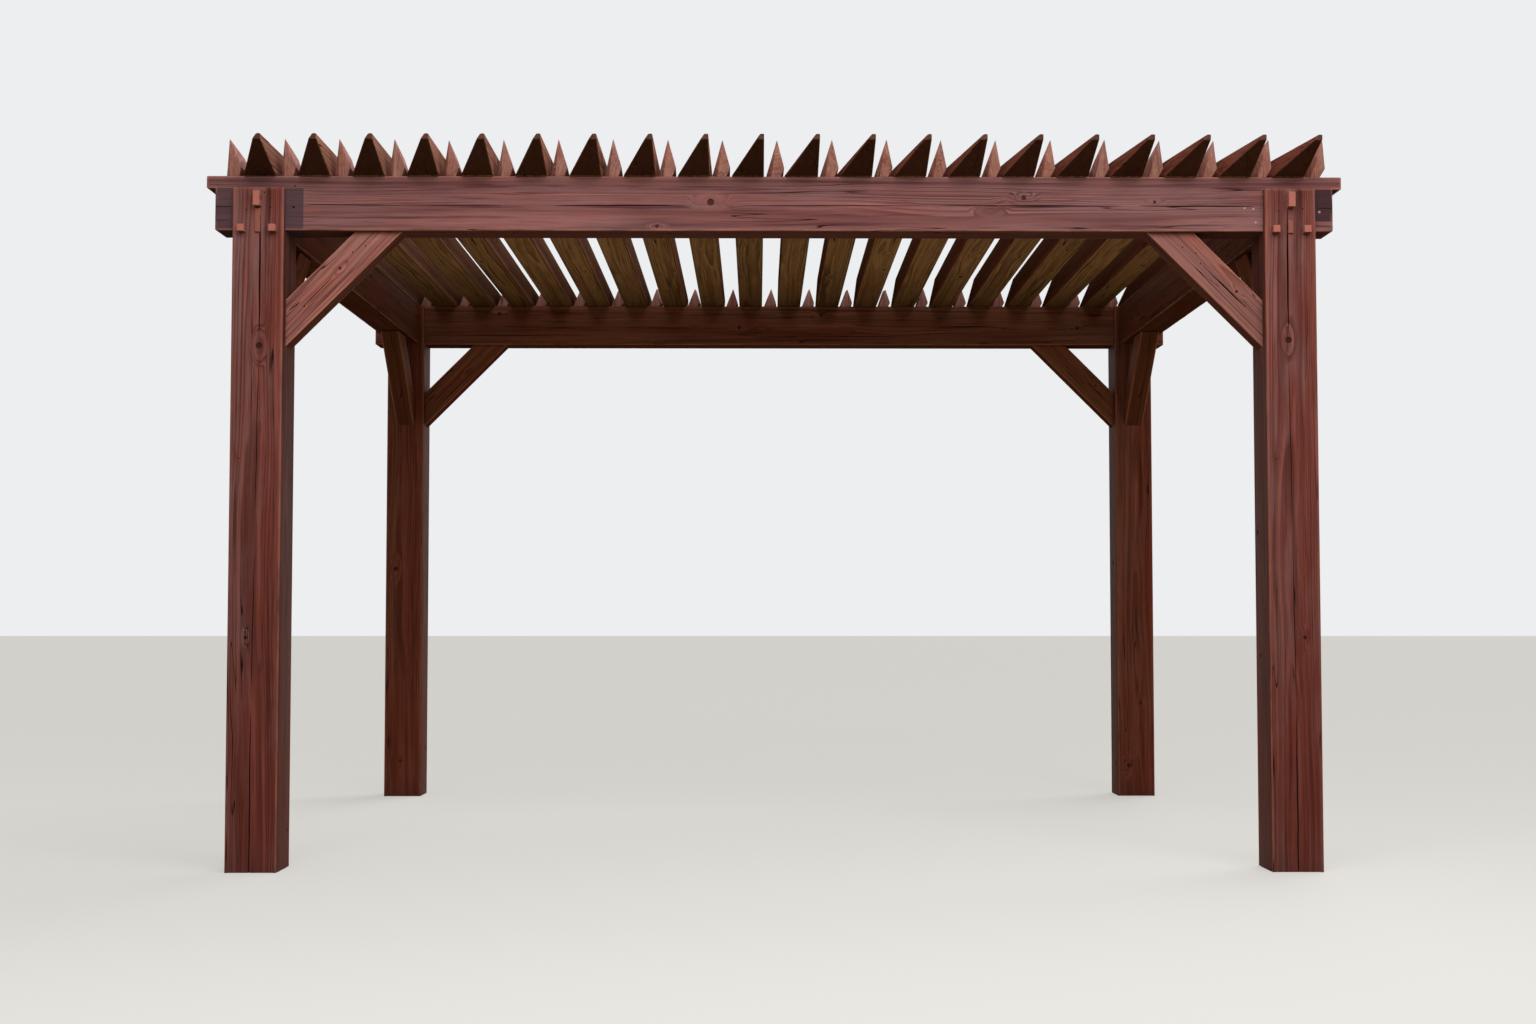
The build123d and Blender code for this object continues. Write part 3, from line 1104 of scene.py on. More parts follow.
def cut_marks(piece: Piece, cutters: list[Piece]) -> None:
    """Cuts splits, holes and knot dishes out of a piece, and keeps its wear where it was.

    Args:
        piece: the worn piece.
        cutters: the closed shapes to cut out, which are used up.
    """
    if not cutters:
        return
    mesh = piece.data
    before = {place_key(v.co): w.value for v, w in zip(mesh.vertices, mesh.attributes["wear"].data)}
    tool = joined(cutters, f"cutters_{piece.name}")
    apply_modifier(piece, "BOOLEAN", operation="DIFFERENCE", solver="EXACT", use_self=True, object=tool,
                   material_mode="TRANSFER")
    bpy.data.objects.remove(tool)
    after = [before.get(place_key(v.co), 0.0) for v in piece.data.vertices]
    piece.data.attributes["wear"].data.foreach_set("value", after)


def smooth(piece: Piece) -> None:
    """Shades a finished piece smooth between its sharp edges, with its flats kept flat.

    Args:
        piece: the finished piece.
    """
    take_alone(piece)
    bpy.ops.object.shade_smooth_by_angle(angle=SMOOTH_BELOW)
    apply_modifier(piece, "WEIGHTED_NORMAL", keep_sharp=True)


@dataclass
class Assembly(ABC):
    """A group of like timbers: their sizes, the way they are shaped and the finish they get."""

    made: list[Piece] = field(default_factory=list, init=False)

    @abstractmethod
    def build(self) -> None:
        """Models and dresses every piece of the group."""

    def hand_over(self, piece: Piece, slot: Slot | None, *nodes: str) -> None:
        """Lets a finished piece ride on the frame.

        Args:
            piece: the finished piece.
            slot: the material slot meant for its finish; not used.
            nodes: the solids that it stands for.
        """
        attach(piece, ROOT)
        if nodes:
            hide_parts(*nodes)
        self.made.append(piece)

    @staticmethod
    def finish(piece: Piece, wood: StainedWood, grain: Grain, play: float = 1.4 * MM) -> None:
        """Wears, marks and dresses a shaped timber.

        Args:
            piece: the shaped timber, with its arrises rounded.
            wood: its finish.
            grain: how the wood lies in it, with its marks.
            play: how far its arrises are worn back.
        """
        rub_down(piece, play)
        wood_material = wood.material(piece.name, grain)
        # Painted shade: the walls that the cuts leave are nearly black.
        inside = OPENED_WOOD.material()
        marks = grain.marks
        cutters = [mark.cutter(inside) for mark in (*marks.checks, *marks.holes)]
        cutters += [knot.cutter(wood_material) for knot in marks.knots]
        piece.data.materials.clear()
        piece.data.materials.append(wood_material)
        cut_marks(piece, cutters)
        smooth(piece)

    def report(self) -> None:
        """Logs each piece of the group with its size."""
        for piece in self.made:
            faces = len(piece.data.polygons)
            size = piece.dimensions
            log.info("%s: %s, %d faces, %.3f x %.3f x %.3f m", type(self).__name__, piece.name, faces, *size)


def scattered_marks(seed: str, low: Vector, high: Vector, along: Vector, sides: Iterable[Vector],
                    checks: int = 2, knots: int = 2, patches: tuple[Patch, ...] = ()) -> Marks:
    """Scatters checks and knots over a squared timber, the same way on each run.

    Args:
        seed: words that fix the scatter.
        low: the timber's lowest corner.
        high: its highest corner.
        along: the way that it runs.
        sides: the outward normals of the faces that are marked.
        checks: how many checks each face gets.
        knots: how many knots each face gets.
        patches: patches that the timber has besides.

    Returns:
        The timber's marks.
    """
    chance = random.Random(seed)
    middle, half = (low + high) / 2, (high - low) / 2
    reach = abs(half.dot(along))
    splits, branches = [], []
    for side in sides:
        across = side.cross(along)
        face = middle + side * abs(half.dot(side))
        room = abs(half.dot(across))
        for _ in range(checks):
            length = chance.uniform(0.12, 0.42) * min(reach, 1.3)
            start = chance.uniform(-reach * 0.92, reach * 0.92 - length)
            off = chance.uniform(-0.6, 0.6) * room
            first = face + along * start + across * off
            splits.append(Check(first, first + along * length, -side, chance.uniform(1.6, 3.4) * MM,
                                chance.uniform(8, 18) * MM, chance.uniform(1, 3) * MM))
        for _ in range(knots):
            spot = face + along * chance.uniform(-0.9, 0.9) * reach
            spot = spot + across * chance.uniform(-0.62, 0.62) * room
            branches.append(Knot(spot, side, chance.uniform(6, 12) * MM))
    return Marks(tuple(splits), tuple(branches), (), patches)


@dataclass
class Posts(Assembly):
    """Four square posts with slotted heads that clasp the long beams.

    Attributes:
        arris: rounding of the long arrises, in metres.
        cheek: thickness of the two cheeks beside the slot.
        outer_rise: how far the outer cheek stands above the beam's seat.
        slices: cuts along the post, close enough for uneven arrises.
    """

    arris: float = 6 * MM
    cheek: float = 25 * MM
    outer_rise: float = 158 * MM
    slices: int = 54

    def build(self) -> None:
        """Models and dresses the posts."""
        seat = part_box("beam_front")[0].z
        for end, side in CORNERS:
            node = f"post_{end}_{side}"
            low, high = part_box(node)
            piece = self.shape(node, low, high, seat, -1 if end == "front" else 1)
            tilt = random.Random(node)
            pith = (low + high) / 2 + Vector((tilt.uniform(-0.03, 0.03), tilt.uniform(-0.03, 0.03), 0))
            # The rear posts take the shaded copy of the wood: painted shade of the roof.
            wood = POST_WOOD if end == "front" else SHADED_POST_WOOD
            # Painted shade: the side that looks into the pergola is darker.
            inner = PaintedSideLight(RIGHT if side == "left" else LEFT, 0.9, "4A2A1E", 0.6)
            wood = replace(wood, weather=(*wood.weather, inner))
            self.finish(piece, wood, Grain(pith, UP, self.marks(node, low, high)))
            self.hand_over(piece, Slot.POST, node)

    def shape(self, node: str, low: Vector, high: Vector, seat: float, outward: int) -> Piece:
        """Models one post.

        Args:
            node: the solid that it stands for.
            low: its lowest corner.
            high: its highest corner.
            seat: height of the beam's seat, the slot's floor.
            outward: the sign of Y on the side that faces out.

        Returns:
            The post, with its arrises rounded.
        """
        piece = block(f"{node}_timber", low, (high.x, high.y, seat))
        outer = low.y if outward < 0 else high.y
        inner = high.y if outward < 0 else low.y
        walls = (outer - outward * self.cheek, inner + outward * self.cheek)
        with Bench(piece) as bench:
            for wall in walls:
                bench.score(Vector((0, wall, 0)), BACK)
            for edge, wall, rise in ((outer, walls[0], self.outer_rise), (inner, walls[1], high.z - seat)):
                middle = (edge + wall) / 2
                bench.pick_faces(lambda face: face.normal.z > PARALLEL
                                 and abs(face.calc_center_median().y - middle) < self.cheek / 4)
                bench.extrude(UP * rise)
            near = 1 * MM
            bench.round_arrises(self.arris, lambda at: abs(at.z - seat) < near or abs(at.z - low.z) < near
                                or min(abs(at.y - wall) for wall in walls) < near)
            bench.border(7 * MM)
            bench.slice(UP, low.z, seat, self.slices)
        return piece

    def marks(self, node: str, low: Vector, high: Vector) -> Marks:
        """Chooses a post's marks: the front faces as they are seen, the rest scattered.

        Args:
            node: the solid that the post stands for.
            low: its lowest corner.
            high: its highest corner.

        Returns:
            The marks, with painted shade that darkens the lower half, and the darker stain of the foot.
        """
        middle = (low + high) / 2
        marked_to, darker_below, damp_below = 2.3, 1.5, 0.1
        face_top = Vector((high.x, high.y, marked_to))
        ground = Vector((-FAR, -FAR, -FAR))
        # Painted shade: the lower half of the post is darker, fading upwards.
        darker = Patch(ground, Vector((FAR, FAR, darker_below)), "5E2A1E", 0.31, 1.4)
        foot = Patch(ground, Vector((FAR, FAR, damp_below)), "3A2224", 0.5, 0.22)
        if node == "post_front_left":
            own = self.front_marks(low.y, middle.x, 1.94, (2.368, 1.95), 9 * MM, -6 * MM)
        elif node == "post_front_right":
            own = self.front_marks(low.y, middle.x, 1.964, (2.368, 1.975), -12 * MM, 1 * MM)
        else:
            own = scattered_marks(node + "_face", low, face_top, UP, (FRONT,), 3, 2)
        rest = scattered_marks(node, low, face_top, UP, (RIGHT, LEFT, BACK), 2, 2)
        return Marks(own.checks + rest.checks, own.knots + rest.knots, own.holes, (darker, foot))

    @staticmethod
    def front_marks(face: float, middle: float, knot: float, top: tuple[float, float], high_off: float,
                    low_off: float) -> Marks:
        """Chooses the long split down a front post's face, with the knot that it runs into.

        Args:
            face: Y of the face.
            middle: X of the post's middle line.
            knot: height of the knot.
            top: heights between which the split is widest, under the lower key.
            high_off: how far the split lies off the middle line above the knot.
            low_off: how far it lies off near the ground.

        Returns:
            The marks of the face.
        """
        def on_face(off: float, height: float) -> Vector:
            """Returns a point of the face, by its way off the middle line and its height."""
            return Vector((middle + off, face, height))

        half_off = (high_off + low_off) / 2
        runs = (
            (on_face(high_off, top[0] + 0.09), on_face(high_off, top[1] + 0.02), 7.0, 30.0),
            (on_face(high_off - 1 * MM, 1.9), on_face(half_off, 1.25), 3.6, 16.0),
            (on_face(half_off, 1.17), on_face(low_off, 0.62), 4.2, 18.0),
            (on_face(low_off, 0.6), on_face(low_off, -0.16), 6.5, 26.0),
        )
        checks = tuple(Check(a, b, BACK, width * MM, depth * MM, 2 * MM) for a, b, width, depth in runs)
        knots = (Knot(on_face(high_off, knot), FRONT, 12 * MM),
                 Knot(on_face(-high_off * 3, 0.86), FRONT, 7 * MM))
        pins = ((-43.0, 2.447), (46.0, 2.455), (23.0, 2.512), (-60.0, 1.52))
        holes = tuple(PinHole(on_face(off * MM, height), BACK) for off, height in pins)
        return Marks(checks, knots, holes)


@dataclass
class LongBeams(Assembly):
    """The front and rear beams, whose top strip reaches further out than the rest.

    Attributes:
        arris: rounding of the arrises, in metres.
        nose_deep: depth of the strip that reaches further.
        nose_length: how far it reaches.
        slices: cuts along the beam.
    """

    arris: float = 4 * MM
    nose_deep: float = 47 * MM
    nose_length: float = 33 * MM
    slices: int = 80

    def build(self) -> None:
        """Models and dresses both beams."""
        for node in ("beam_front", "beam_rear"):
            low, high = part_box(node)
            piece = self.shape(node, low, high)
            pith = Vector((0, (low.y + high.y) / 2 + 0.12, low.z + 0.03))
            # The rear beam takes the shaded copy of the wood: painted shade of the roof.
            wood = BEAM_WOOD if node == "beam_front" else SHADED_BEAM_WOOD
            self.finish(piece, wood, Grain(pith, RIGHT, self.marks(node, low, high)))
            self.hand_over(piece, Slot.BEAM, node)

    def shape(self, node: str, low: Vector, high: Vector) -> Piece:
        """Models one beam with its stepped ends.

        Args:
            node: the solid that it stands for.
            low: its lowest corner.
            high: its highest corner.

        Returns:
            The beam, with its arrises rounded.
        """
        piece = block(f"{node}_timber", (low.x + self.nose_length, low.y, low.z),
                      (high.x - self.nose_length, high.y, high.z))
        step = high.z - self.nose_deep
        with Bench(piece) as bench:
            bench.score(Vector((0, 0, step)), UP)
            for way in (LEFT, RIGHT):
                bench.pick_faces(lambda face: face.normal.dot(way) > PARALLEL
                                 and face.calc_center_median().z > step)
                bench.extrude(way * self.nose_length)
            bench.round_arrises(self.arris)
            bench.border(6 * MM)
            bench.slice(RIGHT, low.x, high.x, self.slices)
        return piece

    def marks(self, node: str, low: Vector, high: Vector) -> Marks:
        """Chooses a beam's marks: the long broken split on the front face as it is seen, the rest scattered.

        Args:
            node: the solid that the beam stands for.
            low: its lowest corner.
            high: its highest corner.

        Returns:
            The marks.
        """
        inner = BACK if node == "beam_front" else FRONT
        rest = scattered_marks(node, low, high, RIGHT, (UP, DOWN), 4, 3)
        inside = scattered_marks(node + "_inner", low, high, RIGHT, (inner,), 6, 4)
        if node == "beam_rear":
            outside = scattered_marks(node + "_outer", low, high, RIGHT, (-inner,), 7, 4)
            return Marks(rest.checks + inside.checks + outside.checks,
                         rest.knots + inside.knots + outside.knots)

        def on_face(x: float, z: float) -> Vector:
            """Returns a point of the front face."""
            return Vector((x, low.y, z))

        split = 2.471
        fall = 2 * MM
        runs = ((-1.75, -1.39, 3.6), (-1.3, -1.02, 3.2), (-0.82, -0.31, 4.8), (-0.12, 0.56, 3.4),
                (0.62, 1.3, 4.0), (1.36, 1.79, 4.8))
        checks = [Check(on_face(a, split), on_face(b, split - fall), BACK, width * MM, 16 * MM, 2.5 * MM)
                  for a, b, width in runs]
        ends = ((low.x + 0.02, -2.022, 2.463, 2.4), (low.x + 0.02, -2.03, 2.412, 1.8),
                (2.022, high.x - 0.02, 2.462, 2.4))
        checks += [Check(on_face(a, z), on_face(b, z), BACK, width * MM, 12 * MM, 1 * MM)
                   for a, b, z, width in ends]
        knots = (Knot(on_face(-0.24, 2.483), FRONT, 13 * MM), Knot(on_face(-0.44, 2.392), FRONT, 7 * MM),
                 Knot(on_face(0.93, 2.50), FRONT, 9 * MM), Knot(on_face(1.42, 2.485), FRONT, 6 * MM))
        holes = (PinHole(on_face(-1.795, 2.462), BACK, 4.5 * MM), PinHole(on_face(-1.79, 2.542), BACK))
        return Marks(tuple(checks) + rest.checks + inside.checks, knots + rest.knots + inside.knots, holes,
                     self.darker_patches())

    @staticmethod
    def darker_patches() -> tuple[Patch, ...]:
        """Lists where the front beam is darker: both ends, beside the left post and along the top strip.

        Returns:
            The patches.
        """
        return (
            Patch(Vector((-3, -3, 2)), Vector((-1.757, 3, 2.5335)), "43353C", 0.78, 2 * MM),
            Patch(Vector((-2.07, -3, 2.53)), Vector((-1.74, 3, 3)), "4E3A42", 0.7, 60 * MM),
            Patch(Vector((2.012, -3, 2.41)), Vector((3, 3, 2.535)), "30242A", 0.85, 4 * MM),
            Patch(Vector((-3, -3, 2.535)), Vector((3, 3, 3)), "5C3A3A", 0.35, 14 * MM),
        )


@dataclass
class SideBeams(Assembly):
    """The two beams that join the front posts to the rear ones.

    Attributes:
        arris: rounding of the arrises, in metres.
        slices: cuts along the beam.
    """

    arris: float = 4 * MM
    slices: int = 50

    def build(self) -> None:
        """Models and dresses both beams."""
        for node in ("beam_left", "beam_right"):
            low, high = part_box(node)
            inner_faces = (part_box("post_front_left")[1].y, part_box("post_rear_left")[0].y)
            body_low = Vector((low.x, inner_faces[0], low.z))
            body_high = Vector((high.x, inner_faces[1], high.z))
            piece = block(f"{node}_timber", body_low, body_high)
            with Bench(piece) as bench:
                bench.round_arrises(self.arris,
                                    lambda at: min(abs(at.y - face) for face in inner_faces) < 1 * MM)
                bench.border(6 * MM)
                bench.slice(BACK, body_low.y, body_high.y, self.slices)
            marks = scattered_marks(node, body_low, body_high, BACK, (RIGHT, LEFT, UP, DOWN), 4, 2)
            pith = (low + high) / 2 + Vector((0.05, 0, -0.11))
            # Side beams take the shaded copy, darker still by tone 0.8: painted shade of the roof.
            self.finish(piece, SHADED_BEAM_WOOD, Grain(pith, BACK, marks, 0.8))
            self.hand_over(piece, Slot.BEAM, node)


@dataclass
class KneeBraces(Assembly):
    """Eight braces at 45 degrees between the posts and the beams.

    Attributes:
        reach: from the post's face to the brace's far foot, in metres.
        deep: depth of the brace, seen from the side.
        thick: its thickness.
        arris: rounding of the arrises.
        slices: cuts along the brace.
    """

    reach: float = 430 * MM
    deep: float = 125 * MM
    thick: float = 92 * MM
    arris: float = 4 * MM
    slices: int = 14

    def build(self) -> None:
        """Models and dresses the braces."""
        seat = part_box("beam_front")[0].z
        for node in nodes_of("brace_"):
            _, first, second = node.split("_")
            in_front_plane = first in ("front", "rear")
            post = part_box(f"post_{first}_{second}" if in_front_plane else f"post_{second}_{first}")
            middle = (post[0] + post[1]) / 2
            if in_front_plane:
                out = RIGHT if second == "left" else LEFT
            else:
                out = BACK if second == "front" else FRONT
            face = middle + out * (post[1] - post[0]).x / 2
            piece = self.shape(node, face, out, seat)
            self.hand_over(piece, Slot.BRACE, node)

    def shape(self, node: str, face: Vector, out: Vector, seat: float) -> Piece:
        """Models one brace lying along X, turns it up and saws its ends to the post and the beam.

        Args:
            node: the solid that it stands for.
            face: a point of the post's face, on the brace's middle plane.
            out: the way from the post along the beam.
            seat: height of the beam's underside.

        Returns:
            The finished brace.
        """
        across = self.deep / math.sqrt(2)
        half_run = self.reach - across
        length = half_run * math.sqrt(2) + self.deep * 1.6
        piece = block(f"{node}_timber", (-length / 2, -self.thick / 2, -self.deep / 2),
                      (length / 2, self.thick / 2, self.deep / 2))
        centre = Vector((face.x, face.y, seat)) + out * half_run / 2 + DOWN * half_run / 2
        with Bench(piece) as bench:
            bench.round_arrises(self.arris)
            bench.border(5 * MM)
            bench.slice(RIGHT, -length / 2, length / 2, self.slices)
        turn = Matrix((out, UP.cross(out), UP)).transposed() @ Matrix.Rotation(math.radians(-45), 3, "Y")
        piece.matrix_world = Matrix.Translation(centre) @ turn.to_4x4()
        settle_in_frame(piece)
        with Bench(piece) as bench:
            bench.saw(Vector((face.x, face.y, seat)), -out)
            bench.saw(Vector((face.x, face.y, seat)), UP)
        along, over = turn @ RIGHT, turn @ UP
        side = turn @ FRONT
        marks = self.marks(node, centre, along, over, side)
        pith = centre + side * -0.09 + over * 0.05
        # All but the front braces take the shaded copy of the wood: painted shade of the roof.
        wood = BRACE_WOOD if node.startswith("brace_front") else SHADED_BRACE_WOOD
        tone = {"brace_front_left": 1.08, "brace_front_right": 0.97}.get(node, 1.0)
        self.finish(piece, wood, Grain(pith, along, marks, tone))
        return piece

    def marks(self, node: str, centre: Vector, along: Vector, over: Vector, side: Vector) -> Marks:
        """Chooses a brace's checks, knots and pin holes on both of its broad faces.

        Args:
            node: the solid that the brace stands for.
            centre: its middle.
            along: the way that it runs.
            over: its own upward way, square to it.
            side: the outward normal of one broad face.

        Returns:
            The marks.
        """
        chance = random.Random(node)
        checks, holes, knots = [], [], []
        for way in (side, -side):
            face = centre + way * self.thick / 2
            for _ in range(2):
                start = chance.uniform(-0.2, 0.0)
                off = chance.uniform(-0.012, 0.012)
                first = face + along * start + over * off
                checks.append(Check(first, first + along * chance.uniform(0.14, 0.22), -way,
                                    chance.uniform(2, 3.6) * MM, 16 * MM, 2 * MM))
            for spot, off in ((-0.15, -0.005), (0.12, 0.013), (0.17, -0.006), (0.08, 0.0)):
                off += chance.uniform(-0.006, 0.006)
                holes.append(PinHole(face + along * spot + over * off, -way))
            place = face + along * chance.uniform(-0.1, 0.1)
            knots.append(Knot(place + over * chance.uniform(-0.03, 0.03), way, 6 * MM))
        return Marks(tuple(checks), tuple(knots), tuple(holes))


@dataclass
class Rafters(Assembly):
    """Twenty rafters with tails that taper to blunt points, straight on the right and sloped on the left.

    Attributes:
        heel: where the taper starts from below, from the middle, in metres.
        rake: how far inside the heel the raking cut runs out on top.
        tip_wide: width of the tip on top.
        tip_deep: its depth.
        arris: rounding of the other arrises.
        slices: cuts along the rafter.
    """

    heel: float = 1500 * MM
    rake: float = 410 * MM
    tip_wide: float = 14 * MM
    tip_deep: float = 20 * MM
    arris: float = 2.5 * MM
    slices: int = 60

    def build(self) -> None:
        """Models one rafter, copies it to every place and dresses the copies."""
        nodes = nodes_of("rafter_")
        first_low, first_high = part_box(nodes[0])
        pattern = self.shape(first_low, first_high)
        for node in nodes:
            low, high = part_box(node)
            piece = own_copy(pattern, f"{node}_timber")
            piece.location = low - first_low
            settle_in_frame(piece)
            marks = self.marks(node, low, high)
            chance = random.Random(node)
            pith = (low + high) / 2 + Vector((chance.uniform(-0.06, 0.06), 0, chance.uniform(-0.12, -0.05)))
            self.finish(piece, RAFTER_WOOD, Grain(pith, BACK, marks, chance.uniform(0.88, 1.1)), 0.8 * MM)
            self.hand_over(piece, Slot.RAFTER, node)
        bpy.data.objects.remove(pattern)

    def shape(self, low: Vector, high: Vector) -> Piece:
        """Models the rafter: both ends cut away from below and raked off at their top left.

        Args:
            low: lowest corner of the first rafter.
            high: its highest corner.

        Returns:
            The pattern of all rafters.
        """
        piece = block("rafter_pattern", low, high)
        inside = (low + high) / 2
        with Bench(piece) as bench:
            for way, tip in ((-1, low.y), (1, high.y)):
                heel = Vector((low.x, way * self.heel, low.z))
                bench.shave(inside, heel, heel + RIGHT, Vector((low.x, tip, high.z - self.tip_deep)))
                bench.shave(inside, heel, Vector((high.x - self.tip_wide, tip, high.z)),
                            Vector((low.x, heel.y - way * self.rake, high.z)))
            bench.round_arrises(self.arris)
            bench.border(4 * MM)
            bench.slice(BACK, low.y, high.y, self.slices)
        return piece

    def marks(self, node: str, low: Vector, high: Vector) -> Marks:
        """Chooses a rafter's marks, with painted shade that darkens the sides under the roof and most of all
        towards the rear.

        Args:
            node: the solid that the rafter stands for.
            low: its lowest corner.
            high: its highest corner.

        Returns:
            The marks.
        """
        full, top = self.heel, self.heel - self.rake
        sides = scattered_marks(node, Vector((low.x, -full, low.z)), Vector((high.x, full, high.z)), BACK,
                                (DOWN, RIGHT), 1, 1)
        raked = scattered_marks(node + "_raked", Vector((low.x, -top, low.z)), Vector((high.x, top, high.z)),
                                BACK, (UP, LEFT), 1, 1)
        shaded_from, rear_shade_from = -1.4, 0.2
        end = Vector((FAR, FAR, FAR))
        # Painted shade: sides and tops are darker from the front beam back, the undersides left out.
        shaded = Patch(Vector((-FAR, shaded_from, low.z + 6 * MM)), end, "4C3222", 0.75, 28 * MM)
        # Painted shade: darker still towards the rear.
        painted_rear_shade = Patch(Vector((-FAR, rear_shade_from, 0)), end, "361C0C", 0.65, 1.1)
        return Marks(sides.checks + raked.checks, sides.knots + raked.knots, (), (shaded, painted_rear_shade))


@dataclass
class PegSets(Assembly):
    """At each post head two square pegs, and two upright keys one above the other.

    Attributes:
        peg: side of a peg, in metres.
        peg_offset: from the post's middle to a peg's middle.
        peg_proud: how far the pegs stand out.
        upper_wide: width of the upper key.
        upper_low: its foot above the beam's underside.
        upper_high: its top above the beam's underside.
        upper_proud: how far it stands out.
        lower_wide: width of the lower key.
        lower_low: its foot above the beam's underside.
        long_high: its top above the beam's underside, at the left posts.
        short_high: its top there at the right posts, where it stops short of the upper key.
        lower_proud: how far it stands out.
        arris: rounding of the arrises.
    """

    peg: float = 28 * MM
    peg_offset: float = 58 * MM
    peg_proud: float = 28 * MM
    upper_wide: float = 27 * MM
    upper_low: float = 81 * MM
    upper_high: float = 139 * MM
    upper_proud: float = 30 * MM
    lower_wide: float = 21 * MM
    lower_low: float = -14 * MM
    long_high: float = 78 * MM
    short_high: float = 36 * MM
    lower_proud: float = 8 * MM
    arris: float = 2.5 * MM

    def build(self) -> None:
        """Models and dresses the four sets."""
        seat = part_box("beam_front")[0].z
        for end, side in CORNERS:
            node = f"pegs_{end}_{side}"
            post_low, post_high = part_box(f"post_{end}_{side}")
            out = -1 if end == "front" else 1
            face = post_low.y if out < 0 else post_high.y
            low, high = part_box(node)
            root = high.y if out < 0 else low.y
            middle = (post_low.x + post_high.x) / 2
            lower_high = self.long_high if side == "left" else self.short_high
            blocks = [
                (middle, self.upper_wide, seat + self.upper_low, seat + self.upper_high, self.upper_proud),
                (middle, self.lower_wide, seat + self.lower_low, seat + lower_high, self.lower_proud),
                *((middle + off, self.peg, seat - self.peg / 2, seat + self.peg / 2, self.peg_proud)
                  for off in (-self.peg_offset, self.peg_offset)),
            ]
            parts = [self.shape(x, wide, z0, z1, root, face + out * proud, out)
                     for x, wide, z0, z1, proud in blocks]
            piece = joined(parts, f"{node}_hardwood")
            centre = Vector((middle, face, seat))
            key_top = seat + self.long_high + 1 * MM
            # Painted shadow: the lower key is darker, under the proud upper key.
            painted_key_shadow = Patch(Vector((middle - 0.02, -FAR, 0)), Vector((middle + 0.02, FAR, key_top)), "6E443C",
                           0.6, 1 * MM)
            grain = Grain(centre + Vector((0.07, 0, 0.03)), BACK, Marks(patches=(painted_key_shadow,)))
            self.finish(piece, PEG_WOOD, grain, 1.2 * MM)
            self.hand_over(piece, Slot.PEG, node)

    def shape(self, x: float, wide: float, z0: float, z1: float, root: float, tip: float, out: int) -> Piece:
        """Models one peg or key, a little slimmer at its proud end.

        Args:
            x: its middle.
            wide: its width.
            z0: its foot.
            z1: its top.
            root: Y of its end in the post.
            tip: Y of its proud end.
            out: the sign of Y on the side where it stands proud.

        Returns:
            The peg, with its arrises rounded.
        """
        made = block("peg", (x - wide / 2, min(root, tip), z0), (x + wide / 2, max(root, tip), z1))
        with Bench(made) as bench:
            bench.pick_faces(lambda face: face.normal.y * out > PARALLEL)
            bpy.ops.transform.resize(value=(0.94, 1.0, 0.97), center_override=(x, tip, (z0 + z1) / 2))
            bench.round_arrises(self.arris, lambda at: abs(at.y - root) < 1 * MM)
            bench.border(2 * MM)
        return made


